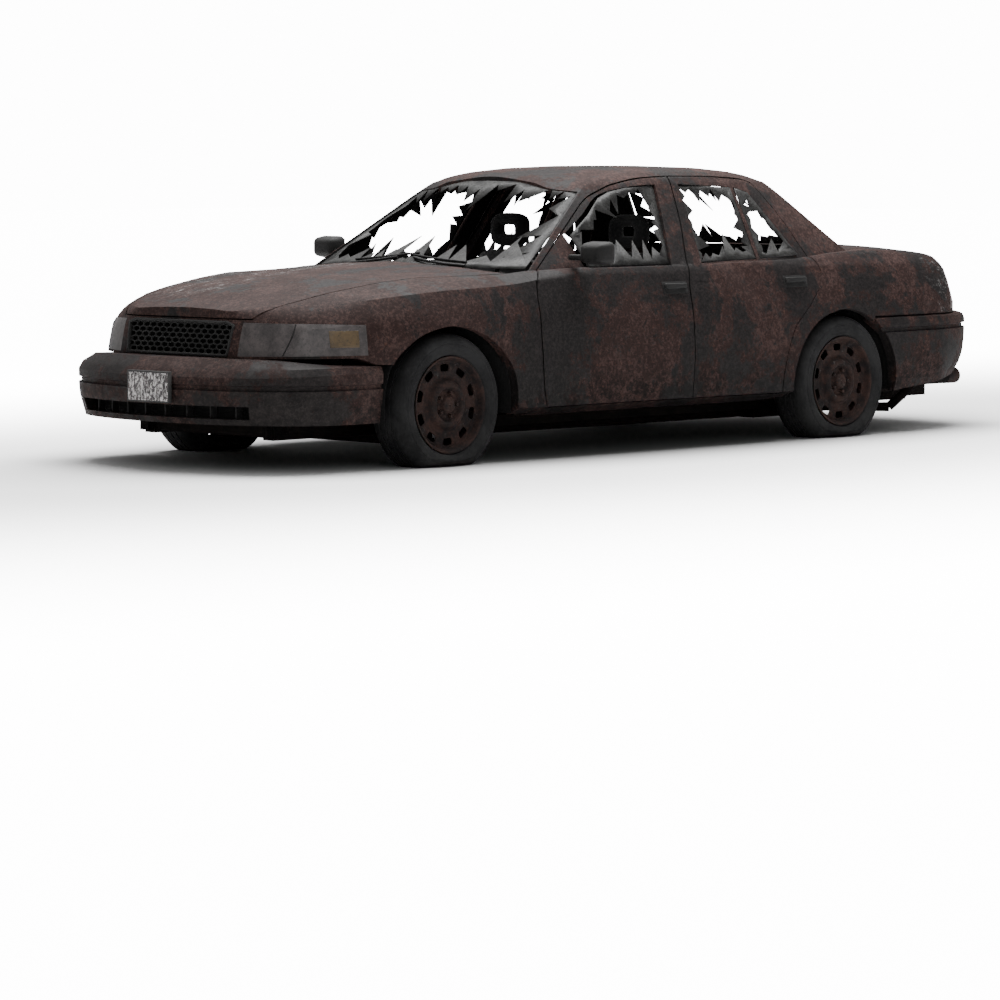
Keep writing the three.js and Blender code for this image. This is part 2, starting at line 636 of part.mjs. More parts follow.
// Cage: roof, pillars, cowl, rockers and the deck strip before the lid
const POST_HALF = 38;
const ROCKER_INNER = 790;
const POST_FOOT_Z = [FLOOR_TOP + FIT, 250];
const COWL_BOTTOM = 870;
const COWL_REAR = -800;

function cageSolid() {
  const shell = OUTER.subtract(INNER);
  const cabin = block(along(WING_REAR) + FIT, along(CAGE_REAR), -1200, 1200, 250, 1500);
  const high = block(along(QUARTER_START) - FIT, along(CAGE_REAR) + 1, -1200, 1200, 0, DECK_SEAM)
    .subtract(block(along(1300), along(CAGE_REAR) + 2, -across(690), across(690), 800, 1100));
  const rocker = block(along(WING_REAR) + FIT, along(QUARTER_START) - FIT, across(ROCKER_INNER), 1200,
    SILL_BOTTOM, POST_FOOT_Z[1])
    .intersect(OUTER);
  const [x0, x1] = [along(262) - POST_HALF, along(262) + POST_HALF];
  const postFoot = block(x0, x1, across(740), across(ROCKER_INNER) + 60, ...POST_FOOT_Z).intersect(OUTER);
  const hingeFoot = block(along(-904), along(-800), across(752), across(ROCKER_INNER) + 8, ...POST_FOOT_Z);
  const cowl = cowlRegion(0).intersect(bodySolid(0)).intersect(
    block(along(-1000), along(COWL_REAR), -1000, 1000, COWL_BOTTOM, 1000)).subtract(DOOR_CUTS);
  const trough = block(along(-1000), along(-862), -across(772), across(772), 962 - TROUGH_DEPTH, 1100)
    .subtract(greenhouseSolid(2));
  const sides = bothSides(join(rocker, middlePost(), postFoot, hingePost(0), hingeFoot));
  const body = shell.intersect(cabin).subtract(high).subtract(DOOR_CUTS);
  const lidHinges = bothSides(block(along(1690), along(1790), 610, 680, LID_AXIS_Z - 52, LID_AXIS_Z - 16))
    .subtract(lidRegion(FIT - PANEL_GAP / 2));
  return largest(join(body, cowl, sides)
    .subtract(trough)
    .subtract(HOOD_CUT)
    .subtract(LID_CUT)
    .subtract(screenOpening(0).intersect(block(-4000, along(-206), -1000, 1000, 0, 1500)))
    .subtract(backlightOpening(0))
    .subtract(ARCH_CUTS)
    .add(lidHinges));
}

function quarterSolid() {
  const region = block(along(QUARTER_START), TAIL_REACH, FIT, across(1100), 200, 1100);
  const cage = block(along(900), along(CAGE_REAR) + FIT, -1200, 1200, DECK_SEAM - FIT, 1500)
    .add(block(along(1300) - FIT, along(CAGE_REAR) + FIT, -across(690) - FIT, across(690) + FIT, 700, 1500))
    .add(block(along(900), along(1300), -across(780), across(780), 700, 1500));
  const bumperRoom = block(along(1700), TAIL_REACH, -1200, 1200, 0, QUARTER_BOTTOM);
  return largest(OUTER.subtract(bodySolid(DOOR_THICKNESS, 100)).intersect(region)
    .subtract(cage).subtract(bumperRoom).subtract(DOOR_CUTS).subtract(ARCH_CUTS).subtract(LID_CUT)
    .subtract(TAIL_LAMP_CUT));
}

// Glass: shards left round the edge of each opening.
// Hole columns: position along each window's width and height, 0 to 1
const SHARD_HOLE = [[0.07, 0.2], [0.17, 0.5], [0.12, 0.72], [0.3, 0.9], [0.45, 0.82], [0.63, 0.93],
  [0.84, 0.86], [0.93, 0.6], [0.86, 0.42], [0.92, 0.2], [0.74, 0.07], [0.6, 0.17], [0.45, 0.06],
  [0.26, 0.14]];

function shardHole(x0, x1, z0, z1) {
  return SHARD_HOLE.map(([u, v]) => [x0 + (x1 - x0) * u, z0 + (z1 - z0) * v]);
}

// Hole in a window whose sides lean: each level's width is read from the outline
function shardOutline(window) {
  const levels = window.map(([, z]) => z);
  const [low, high] = [Math.min(...levels), Math.max(...levels)];
  return SHARD_HOLE.map(([u, v]) => {
    const z = low + (high - low) * v;
    const hits = [];
    window.forEach(([x0, z0], i) => {
      const [x1, z1] = window[(i + 1) % window.length];
      if ((z0 - z) * (z1 - z) < 0) hits.push(x0 + (x1 - x0) * (z - z0) / (z1 - z0));
    });
    const [left, right] = [Math.min(...hits), Math.max(...hits)];
    return [left + (right - left) * u, z];
  });
}

function doorGlass(window) {
  const pane = skinBlock(grow(window, -FIT), -16, 16 + GLASS_THICKNESS);
  return largest(pane.subtract(skinBlock(shardOutline(window), 60, 150)));
}

function screenGlass() {
  const pane = greenhouseSolid(10).subtract(greenhouseSolid(10 + GLASS_THICKNESS))
    .intersect(screenOpening(-FIT)).intersect(block(-4000, along(-206) - 1, -1000, 1000, GLASS_BOTTOM, 1500));
  const hole = shardHole(0, 1, 0, 1).map(([u, v]) => [(u - 0.5) * across(1300), 925 + v * 400]);
  return largest(pane.subtract(rearPrism(hole, along(-1200), along(0))));
}

function backlightGlass() {
  const pane = greenhouseSolid(10).subtract(greenhouseSolid(10 + GLASS_THICKNESS))
    .intersect(backlightOpening(-FIT));
  const hole = shardHole(0, 1, 0, 1).map(([u, v]) => [(u - 0.5) * across(1180), 1010 + v * 350]);
  return largest(pane.subtract(rearPrism(hole, along(1200), along(2000))));
}

// Floor, bay walls and bulkheads inside the shell
const FIREWALL_X = -905;
const BULKHEAD_X = 1345;
const WALL = 14;
const BAY_FRONT = HEADER_REAR + 2;

function floorSolid() {
  const half = across(ROCKER_INNER) - FIT;
  const pan = block(along(FIREWALL_X) + WALL, along(2600), -half, half, SILL_BOTTOM, FLOOR_TOP);
  const tunnel = sidePrism(drawn([[FIREWALL_X + WALL, 230], [FIREWALL_X + WALL, 400], [-700, 330],
    [1100, 320], [1320, 230]]), -130, 130);
  const hollow = sidePrism(drawn([[-1000, 200], [-1000, 380], [-700, 310], [1100, 300], [1280, 200]]),
    -110, 110);
  const pipeRoom = bothSides(block(along(2080), along(2700), 470, 1000, 0, 400));
  const kickUp = block(along(1130), along(1800), -across(640) + 1, across(640) - 1, 200, FLOOR_TOP + 1);
  const axleHump = block(along(1130), along(1800), -across(640) + 1, across(640) - 1, 400, 420)
    .add(bothSides(block(along(1130), along(1130) + WALL, 0, across(640) - 1, FLOOR_TOP - 5, 420)))
    .add(bothSides(block(along(1800) - WALL, along(1800), 0, across(640) - 1, FLOOR_TOP - 5, 420)));
  return largest(join(pan, tunnel).subtract(hollow).subtract(kickUp).subtract(pipeRoom).add(axleHump)
    .intersect(bodySolid(DOOR_THICKNESS + FIT, 100)).subtract(ARCH_CUTS));
}

function bayWalls() {
  const outer = [[BAY_FRONT, 300], [BAY_FRONT, 718], [FIREWALL_X, 840], [FIREWALL_X, 300]];
  const half = 500;
  const box = sidePrism(drawn(outer), -half, half);
  const room = sidePrism(drawn([[BAY_FRONT + WALL, 200], [BAY_FRONT + WALL, 1000],
    [FIREWALL_X - 1, 1000], [FIREWALL_X - 1, 200]]), WALL - half, half - WALL);
  const firewall = INSIDE.intersect(block(along(FIREWALL_X), along(FIREWALL_X) + WALL, -1000, 1000,
    FLOOR_TOP + FIT, COWL_BOTTOM - FIT))
    .intersect(block(-4000, 4000, -across(745), across(745), 0, 1000));
  const mouth = block(along(BAY_FRONT) - 10, along(BAY_FRONT) + 50, -330, 330, 380, 680);
  return largest(box.subtract(room).subtract(mouth).add(firewall)
    .subtract(rodAcross(FRONT_AXLE, HUB_HEIGHT, 90, -600, 600)));
}

function bulkheadSolid() {
  const plate = INSIDE.intersect(block(along(BULKHEAD_X), along(BULKHEAD_X) + WALL, -across(630), across(630),
    420 + FIT, 930));
  const shelf = INSIDE.intersect(block(along(BULKHEAD_X), along(1690), -across(680), across(680), 916, 930));
  return largest(plate.add(shelf));
}

// Cabin furniture
function seatSolid(y0, y1, x, headrests) {
  const cushion = sidePrism([[x - 480, FLOOR_TOP + FIT], [x - 500, 400], [x - 460, 450], [x, 420],
    [x + 60, FLOOR_TOP + FIT]], y0, y1);
  const back = sidePrism([[x - 60, 400], [x + 130, 985], [x + 190, 1000], [x + 220, 960], [x + 80, 400]],
    y0 + 12, y1 - 12);
  const rests = headrests.map((y) => join(
    sidePrism([[x + 130, 1010], [x + 150, 1160], [x + 200, 1178], [x + 245, 1150], [x + 235, 1010]],
      y - 118, y + 118),
    block(x + 160, x + 200, y - 60, y + 60, 970, 1020))
    .subtract(block(x + 80, x + 300, y - 70, y + 70, 1075, 1110)));
  return join(cushion, back, ...rests);
}

function rearSeat() {
  const half = across(620);
  const cushion = sidePrism(drawn([[760, FLOOR_TOP + FIT], [740, 440], [1118, 410], [1118, FLOOR_TOP + FIT]]),
    -half, half);
  const back = sidePrism(drawn([[1075, 395], [1240, 900], [1338, 900], [1338, 420 + FIT], [1126, 420 + FIT], [1110, 395]]), -half, half);
  return join(cushion, back).subtract(sidePrism([[-3000, 0], [-3000, 322], [3000, 322], [3000, 0]], -131, 131));
}

function dashboardSolid() {
  const front = along(FIREWALL_X) + WALL + FIT;
  const outline = [[front, 560], [front, 840], [along(-795), 862], [along(-780), 900], [along(-560), 880],
    [along(-520), 800], [along(-600), 640]];
  return sidePrism(outline, -across(745), across(745)).add(bar(columnPoint(27), columnPoint(230), 24));
}

const WHEEL_CENTRE = [along(-400), -380, 818];
const WHEEL_TILT = 24;

// A point on the steering column, so far down from the wheel's middle
function columnPoint(distance) {
  const tilt = THREE.MathUtils.degToRad(WHEEL_TILT);
  const [x, y, z] = WHEEL_CENTRE;
  return [x - distance * Math.cos(tilt), y, z - distance * Math.sin(tilt)];
}

function steeringWheel() {
  const ring = new THREE.TorusGeometry(185, 14, 6, 20);
  ring.rotateY(Math.PI / 2);
  const spokes = [0, 120, 240].map((angle) => {
    const turn = THREE.MathUtils.degToRad(angle - 90);
    return bar([0, 0, 0], [0, 184 * Math.cos(turn), 184 * Math.sin(turn)], 10, 6);
  });
  const hub = bar([-26, 0, 0], [22, 0, 0], 46, 12);
  const wheel = join(solidOf(ring), hub, ...spokes);
  return wheel.rotate([0, -WHEEL_TILT, 0]).translate(WHEEL_CENTRE);
}

// Wipers lie on the foot of the screen
const WIPER_SEAT = 5.3;

function screenPoint(y, z) {
  const [low, high] = [LEVELS[1], LEVELS[2]];
  const share = (z - low[0]) / (high[0] - low[0]);
  const [middle, corner, cornerY] = [1, 2, 3].map((k) => low[k] + (high[k] - low[k]) * share);
  const knee = cornerY * 0.55;
  const kneeX = middle + (corner - middle) * 0.3;
  const x = y < knee ? middle + (kneeX - middle) * y / knee
    : kneeX + (corner - kneeX) * (y - knee) / (cornerY - knee);
  return [along(x) + WIPER_SEAT, z];
}

function wiper(from, side) {
  const points = [[from, 944], [from * 0.6, 962], [from * 0.1, 982]].map(([y, z]) => {
    const [x, height] = screenPoint(Math.min(y, 412), z);
    return [x, side * y, height + 2];
  });
  return bar(points[0], points[1], 6, 6).add(bar(points[1], points[2], 6, 6));
}

// Underneath
const RAIL_Y = 430;
const TIE_DEPTH = 62;
const RAIL_TOP = SILL_BOTTOM - FIT;

function chassisFrame() {
  const rail = block(along(-2200), along(2520), RAIL_Y - 38, RAIL_Y + 38, RAIL_TOP - 75, RAIL_TOP);
  const ties = [-2150, -700, 300, 1000, 2450].map((x) =>
    block(along(x) - 45, along(x) + 45, -RAIL_Y, RAIL_Y, RAIL_TOP - TIE_DEPTH, RAIL_TOP - 5));
  const noseMount = block(along(-2420), along(-2190), RAIL_Y - 30, RAIL_Y + 30, RAIL_TOP + 130, RAIL_TOP + 200);
  const noseDrop = block(along(-2240), along(-2180), RAIL_Y - 30, RAIL_Y + 30, RAIL_TOP - 60, RAIL_TOP + 200);
  const bayRest = block(along(-2140), along(-1900), RAIL_Y - 30, 500, RAIL_TOP - 40, 300 - FIT);
  const bayRestRear = block(along(-1000), along(-940), RAIL_Y - 30, 500, RAIL_TOP - 40, 300 - FIT);
  const tailMount = block(along(2440), along(2700), RAIL_Y - 30, RAIL_Y + 30, RAIL_TOP - 60, RAIL_TOP);
  return join(...ties, bothSides(join(rail, noseMount, noseDrop, bayRest, bayRestRear, tailMount)))
    .subtract(ARCH_CUTS);
}

function frontCrossmember() {
  const reach = 600;
  const [inner, outer] = [RAIL_Y - 38 - FIT, RAIL_Y + 38 + FIT];
  const under = block(FRONT_AXLE - 90, FRONT_AXLE + 90, -reach, reach, 98, RAIL_TOP - 75 - FIT);
  const middle = block(FRONT_AXLE - 70, FRONT_AXLE + 70, -inner, inner, 120, 212);
  const arms = bothSides(block(FRONT_AXLE - 60, FRONT_AXLE + 60, outer, reach, 120, 185));
  const seats = bothSides(block(FRONT_AXLE - 34, FRONT_AXLE + 34, reach - 10, STEER_AXIS_Y + 28, 100,
    KNUCKLE_BOTTOM - FIT));
  return join(under, middle, arms, seats);
}

function knuckleSolid() {
  const upright = block(FRONT_AXLE - 38, FRONT_AXLE + 38, STEER_AXIS_Y - 38, STEER_AXIS_Y + 10,
    KNUCKLE_BOTTOM, 400);
  const spindle = rodAcross(FRONT_AXLE, HUB_HEIGHT, SPINDLE_RADIUS, STEER_AXIS_Y, WHEEL_Y + 58, 20);
  return join(upright, spindle);
}

function rearAxle() {
  const tube = rodAcross(REAR_AXLE, HUB_HEIGHT, 42, -WHEEL_Y + 110, WHEEL_Y - 110, 12);
  const ends = bothSides(rodAcross(REAR_AXLE, HUB_HEIGHT, SPINDLE_RADIUS, WHEEL_Y - 112, WHEEL_Y + 58, 20));
  const housing = new THREE.SphereGeometry(98, 12, 8);
  housing.translate(REAR_AXLE, 0, HUB_HEIGHT);
  const saddles = bothSides(block(REAR_AXLE - 45, REAR_AXLE + 45, RAIL_Y - 36, RAIL_Y + 36,
    RAIL_TOP + FIT, HUB_HEIGHT));
  return join(tube, ends, solidOf(housing), saddles);
}

// Engine as one plain block on the crossmember, gearbox behind it
function engineBlock() {
  const front = block(along(-1890), along(-1230), -250, 250, 212 + FIT, 700);
  const gearbox = block(along(-1240), along(-960), -130, 130, 230, 480);
  return front.add(gearbox);
}

// Exhaust: one pipe each side to the open tip under the bumper
// Columns: drawn x, y, z and pipe radius from that point on
const TIP = [2700, 666, 271, 42];
const PIPE = [[-800, 260, 112, 25], [1250, 300, 112, 25], [1750, 300, 112, 25], [2050, 300, 112, 25],
  [2290, 540, 108, 25], [2410, 655, 262, 25]];

function exhaustSolid() {
  const [tipX, tipY, tipZ, radius] = TIP;
  const at = ([x, y, z]) => [along(x), across(y), z];
  const run = PIPE.slice(1).map((end, i) => bar(at(PIPE[i]), at(end), end[3]));
  const tip = bar([along(2390), across(tipY), tipZ], [along(tipX), across(tipY), tipZ], radius, 16);
  const bore = bar([along(2420), across(tipY), tipZ], [along(tipX) + 20, across(tipY), tipZ], radius - 5, 16);
  const silencer = block(along(1350), along(1900), across(190), across(380), 84, 139);
  const tie = bar([along(600), -across(285), 112], [along(600), across(285), 112], 20);
  const hangers = [[300, 281], [1000, 295]].map(([x, y]) =>
    block(along(x) - 12, along(x) + 12, across(y) - 12, across(y) + 12, 112, RAIL_TOP - TIE_DEPTH - FIT));
  return join(bothSides(join(tip, silencer, ...run, ...hangers).subtract(bore)), tie);
}

// Room for a tip in the bumper's lower edge
function tipNotch() {
  const [tipX, tipY, tipZ, radius] = TIP;
  const round = bar([along(2300), across(tipY), tipZ], [along(tipX) + 200, across(tipY), tipZ], radius + 12, 16);
  const below = block(along(2300), along(tipX) + 200, across(tipY) - radius - 12, across(tipY) + radius + 12,
    100, tipZ);
  return bothSides(round.add(below));
}

// Wheels: profiles of radius and offset outwards from the tyre's middle
const RIM_PROFILE = [[0, 62], [SPINDLE_RADIUS + 1, 62], [SPINDLE_RADIUS + 1, 34], [72, 38], [90, 58],
  [205, 54], [222, -104], [238, -106], [238, -96], [226, 0], [238, 98], [238, 108], [226, 108],
  [208, 78], [92, 75], [66, 95], [0, 104]];
const HOLE_CIRCLE = 181;
const HOLE_COUNT = 10;
const HOLE_SIZE = [19, 9];
const TYRE_SEGMENTS = 36;
const TYRE_BORE = RIM_RADIUS / Math.cos(Math.PI / TYRE_SEGMENTS) + 0.5;
const TYRE_PROFILE = [[TYRE_BORE, -100], [285, -TYRE_HALF_WIDTH], [328, -106], [TYRE_RADIUS, -62],
  [TYRE_RADIUS, 62], [328, 106], [285, TYRE_HALF_WIDTH], [TYRE_BORE, 100]];
const BULGE = 0.22;

function lathe(profile, segments, closed) {
  const points = profile.map(([r, offset]) => new THREE.Vector2(r, offset));
  if (closed) points.push(points[0].clone());
  const solid = solidOf(new THREE.LatheGeometry(points, segments));
  if (solid.volume() > 0) return solid;
  return solidOf(new THREE.LatheGeometry(points.reverse(), segments));
}

function rimSolid() {
  const hole = new THREE.CylinderGeometry(HOLE_SIZE[1], HOLE_SIZE[1], 200, 6);
  hole.scale(HOLE_SIZE[0] / HOLE_SIZE[1], 1, 1);
  hole.translate(0, 60, HOLE_CIRCLE);
  let rim = lathe(RIM_PROFILE, 20, false);
  for (let i = 0; i < HOLE_COUNT; i += 1) {
    const turned = hole.clone().rotateY(2 * Math.PI * i / HOLE_COUNT);
    rim = rim.subtract(solidOf(turned));
  }
  return rim;
}

// A flat tyre: the part under the hub is pressed up to the ground and bulges out
function tyreGeometry() {
  const geometry = geometryOf(lathe(TYRE_PROFILE, TYRE_SEGMENTS, true));
  const position = geometry.attributes.position;
  for (let i = 0; i < position.count; i += 1) {
    const [x, y, z] = [position.getX(i), position.getY(i), position.getZ(i)];
    const radius = Math.hypot(x, z);
    const down = -z / radius;
    if (down <= 0) continue;
    const reach = Math.min(TYRE_RADIUS, HUB_HEIGHT / down);
    const share = (radius - RIM_RADIUS) / (TYRE_RADIUS - RIM_RADIUS);
    const pressed = RIM_RADIUS + (reach - RIM_RADIUS) * share;
    const squash = (TYRE_RADIUS - reach) / (TYRE_RADIUS - HUB_HEIGHT);
    const middle = Math.sin(Math.PI * Math.min(1, Math.max(0, share)));
    position.setXYZ(i, x * pressed / radius, y * (1 + BULGE * squash * middle), z * pressed / radius);
  }
  return geometry;
}

// Mirrors on the front doors
function mirrorSolid() {
  const head = loft([
    [[-505, 880, 975], [-450, 880, 975], [-440, 880, 1045], [-495, 880, 1050]],
    [[-545, 900, 950], [-440, 900, 948], [-440, 900, 1066], [-520, 900, 1070]],
    [[-560, 980, 948], [-440, 1000, 946], [-440, 1000, 1070], [-535, 980, 1072]],
    [[-530, 1048, 962], [-440, 1060, 960], [-440, 1060, 1052], [-520, 1048, 1056]],
  ].map((ring) => ring.map(([x, y, z]) => [along(x), across(y), z])));
  const arm = block(along(-520), along(-460), across(700), across(890), 975, 1018);
  return largest(join(head, arm).subtract(greenhouseSolid(-FIT)).subtract(bodySolid(-FIT)));
}

// The scene graph

const object = new THREE.Group();
const finishes = {
  rust: [0x5c4844, 0.85, 0.2],
  rubber: [0x38342f, 0.9, 0],
  steel: [0x6b4431, 0.8, 0.4],
  glass: [0x8d9490, 0.4, 0],
  black: [0x1b1a1a, 0.8, 0],
  lamp: [0x9a9488, 0.5, 0],
  red: [0x5e2a26, 0.6, 0],
  plate: [0x8f8b82, 0.8, 0],
  under: [0x3b2f29, 0.9, 0.2],
};

function add(name, solid, finish) {
  const geometry = solid.isBufferGeometry ? solid : geometryOf(solid);
  const [color, roughness, metalness] = finishes[finish];
  const mesh = new THREE.Mesh(geometry, new THREE.MeshStandardMaterial({ color, roughness, metalness }));
  mesh.name = name;
  object.add(mesh);
  return mesh;
}

function addPair(name, solid, finish) {
  add(`${name}_right`, solid, finish);
  add(`${name}_left`, mirrored(solid), finish);
}

add('body_cage', cageSolid(), 'rust');
addPair('quarter_panel', quarterSolid(), 'rust');
addPair('front_wing', wingSolid(), 'rust');
add('header_panel', headerSolid(), 'rust');
add('hood', hoodSolid(), 'rust');
add('boot_lid', lidSolid(), 'rust');
addPair('front_door', doorPanel(FRONT_DOOR, [FRONT_WINDOW]), 'rust');
addPair('rear_door', doorPanel(REAR_DOOR, [REAR_WINDOW, QUARTER_WINDOW]), 'rust');
addPair('front_door_glass', doorGlass(FRONT_WINDOW), 'glass');
addPair('rear_door_glass', doorGlass(REAR_WINDOW), 'glass');
addPair('door_mirror', mirrorSolid(), 'black');
add('windscreen_glass', screenGlass(), 'glass');
add('rear_window_glass', backlightGlass(), 'glass');
add('front_bumper', sweptBumper(FRONT_BUMPER_PLAN, FRONT_BUMPER_SECTION).subtract(
  rearPrism(INTAKE.map(([y, z]) => [across(y), z]), along(-2700), along(-2300))), 'rust');
add('rear_bumper', largest(sweptBumper(REAR_BUMPER_PLAN, REAR_BUMPER_SECTION)
  .subtract(ARCH_CUTS).subtract(tipNotch())), 'rust');
add('grille', grilleSolid(), 'black');
addPair('headlamp', lampSolid(HEADLAMP, along(-2500), along(HEADLAMP_REACH), LAMP_DEPTH), 'lamp');
addPair('tail_lamp', largest(lampSolid(TAIL_LAMP, along(TAIL_LAMP_START) + FIT, TAIL_REACH, DOOR_THICKNESS)
  .intersect(sidePrism(drawn(TAIL_LAMP_EDGE), 0, HALF_WIDTH))), 'red');
add('front_plate', block(-FRONT_OVERHANG + FRONT_AXLE, FRONT_AXLE - FRONT_OVERHANG + PLATE_PROUD - FIT,
  -PLATE_SIZE[0] / 2 - 35, PLATE_SIZE[0] / 2 - 35, 324, 324 + PLATE_SIZE[1]), 'plate');
add('rear_plate', rearPlate(), 'plate');
add('floor_pan', floorSolid(), 'under');
add('bay_walls', bayWalls(), 'under');
add('rear_bulkhead', bulkheadSolid(), 'under');
add('front_seat_left', seatSolid(-665, -190, along(130), [-430]), 'black');
add('front_seat_right', seatSolid(190, 665, along(130), [430]), 'black');
add('rear_seat', rearSeat(), 'black');
add('dashboard', dashboardSolid(), 'black');
add('steering_wheel', steeringWheel(), 'black');
add('wiper_left', wiper(412, -1), 'black');
add('wiper_right', wiper(412, 1), 'black');
add('chassis_frame', chassisFrame(), 'under');
add('front_crossmember', frontCrossmember(), 'under');
add('rear_axle', rearAxle(), 'under');
add('engine_block', engineBlock(), 'under');
add('exhaust', exhaustSolid(), 'under');
addPair('steering_knuckle', knuckleSolid(), 'under');

const rim = rimSolid();
const rimShape = geometryOf(rim);
const tyreShape = tyreGeometry();
// Columns: name, axle x, side
const WHEELS = [['front_left', FRONT_AXLE, -1], ['front_right', FRONT_AXLE, 1],
  ['rear_left', REAR_AXLE, -1], ['rear_right', REAR_AXLE, 1]];
for (const [name, x, side] of WHEELS) {
  for (const mesh of [add(`tyre_${name}`, tyreShape, 'rubber'), add(`rim_${name}`, rimShape, 'steel')]) {
    mesh.position.set(x, side * WHEEL_Y, HUB_HEIGHT);
    mesh.rotation.z = side < 0 ? Math.PI : 0;
  }
}

export default object;
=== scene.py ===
"""Rusted four-door saloon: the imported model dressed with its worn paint, broken glass and trim."""
import json
import math
import random

import bmesh
import bpy
import numpy as np
from mathutils import Matrix, Vector, noise
from mathutils.bvhtree import BVHTree


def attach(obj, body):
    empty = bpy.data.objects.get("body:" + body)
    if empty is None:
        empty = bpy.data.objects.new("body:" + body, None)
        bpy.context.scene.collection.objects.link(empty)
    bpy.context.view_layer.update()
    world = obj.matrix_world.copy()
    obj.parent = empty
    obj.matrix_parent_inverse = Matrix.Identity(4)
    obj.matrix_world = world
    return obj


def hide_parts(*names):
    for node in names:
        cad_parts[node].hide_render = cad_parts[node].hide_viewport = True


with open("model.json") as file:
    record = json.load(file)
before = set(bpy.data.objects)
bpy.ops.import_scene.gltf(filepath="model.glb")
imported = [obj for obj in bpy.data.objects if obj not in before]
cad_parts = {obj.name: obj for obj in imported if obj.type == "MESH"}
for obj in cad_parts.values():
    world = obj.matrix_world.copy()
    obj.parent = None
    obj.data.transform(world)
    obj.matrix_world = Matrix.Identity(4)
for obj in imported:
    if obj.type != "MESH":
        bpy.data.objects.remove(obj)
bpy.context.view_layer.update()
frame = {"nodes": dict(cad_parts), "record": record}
chance = random.Random(7)

# Sizes in metres. Places along the car are drawn from mid-wheelbase and moved to the frame by along().
DRAWN_SHIFT = 0.0995
FRONT_AXLE = -1.556
REAR_AXLE = 1.357
WHEEL_Y = 0.810
HUB_Z = 0.297
TYRE_R = 0.345
RIM_R = 0.238
SIDES = (("left", -1), ("right", 1))
ENDS = (("front", FRONT_AXLE), ("rear", REAR_AXLE))


def along(x):
    return x / 1000 - DRAWN_SHIFT


# Finishes

class Finish:
    """A procedural finish, with short calls for the nodes that it is built from."""

    def __init__(self, name, roughness=0.85, metallic=0.0):
        self.material = bpy.data.materials.new(name)
        self.material.use_nodes = True
        self.tree = self.material.node_tree
        self.shader = self.tree.nodes["Principled BSDF"]
        self.shader.inputs["Roughness"].default_value = roughness
        self.shader.inputs["Metallic"].default_value = metallic
        self.place = self.tree.nodes.new("ShaderNodeTexCoord").outputs["Object"]

    def link(self, value, socket):
        if isinstance(value, (int, float)):
            socket.default_value = value
        elif isinstance(value, tuple):
            socket.default_value = (*value, 1.0)
        else:
            self.tree.links.new(value, socket)

    def stretched(self, x, y, z):
        node = self.tree.nodes.new("ShaderNodeMapping")
        node.inputs["Scale"].default_value = (x, y, z)
        self.tree.links.new(self.place, node.inputs["Vector"])
        return node.outputs["Vector"]

    def noise(self, scale, detail=6.0, roughness=0.62, place=None, twist=0.0):
        node = self.tree.nodes.new("ShaderNodeTexNoise")
        node.inputs["Scale"].default_value = scale
        node.inputs["Detail"].default_value = detail
        node.inputs["Roughness"].default_value = roughness
        node.inputs["Distortion"].default_value = twist
        self.tree.links.new(place or self.place, node.inputs["Vector"])
        return node.outputs["Fac"]

    def axis(self, name):
        node = self.tree.nodes.new("ShaderNodeSeparateXYZ")
        self.tree.links.new(self.place, node.inputs["Vector"])
        return node.outputs[name]

    def between(self, value, low, high):
        """0 at low, 1 at high."""
        node = self.tree.nodes.new("ShaderNodeMapRange")
        node.interpolation_type = "SMOOTHSTEP"
        self.link(value, node.inputs["Value"])
        node.inputs["From Min"].default_value = min(low, high)
        node.inputs["From Max"].default_value = max(low, high)
        node.inputs["To Min"].default_value = 0.0 if high > low else 1.0
        node.inputs["To Max"].default_value = 1.0 if high > low else 0.0
        return node.outputs["Result"]

    def sum(self, a, b, kind="MULTIPLY"):
        """Two values put together: their product, or with ADD their sum."""
        node = self.tree.nodes.new("ShaderNodeMath")
        node.operation = kind
        self.link(a, node.inputs[0])
        self.link(b, node.inputs[1])
        return node.outputs[0]

    def mix(self, mask, a, b):
        node = self.tree.nodes.new("ShaderNodeMix")
        node.data_type = "RGBA"
        self.link(mask, node.inputs["Factor"])
        self.link(a, node.inputs[6])
        self.link(b, node.inputs[7])
        return node.outputs[2]

    def colour(self, value):
        self.link(value, self.shader.inputs["Base Color"])

    def rough(self, value, low, high):
        node = self.tree.nodes.new("ShaderNodeMapRange")
        self.link(value, node.inputs["Value"])
        node.inputs["To Min"].default_value = low
        node.inputs["To Max"].default_value = high
        self.tree.links.new(node.outputs["Result"], self.shader.inputs["Roughness"])

    def relief(self, height, strength, distance=0.002):
        node = self.tree.nodes.new("ShaderNodeBump")
        node.inputs["Strength"].default_value = strength
        node.inputs["Distance"].default_value = distance
        self.link(height, node.inputs["Height"])
        self.tree.links.new(node.outputs["Normal"], self.shader.inputs["Normal"])


MAUVE = (0.0165, 0.0090, 0.0080)
MAUVE_PALE = (0.044, 0.0255, 0.0225)
CHARCOAL = (0.0125, 0.0112, 0.0112)
CHARCOAL_DEEP = (0.0045, 0.0042, 0.0043)
ORANGE = (0.066, 0.030, 0.021)
SOOT = (0.0022, 0.0020, 0.0020)
DUST = (0.050, 0.042, 0.039)
CHALK = (0.300, 0.290, 0.285)
# Specular levels of dead paint, trim and lamp glass
MATT = 0.09
TRIM_SHINE = 0.2
LENS_SHINE = 0.3


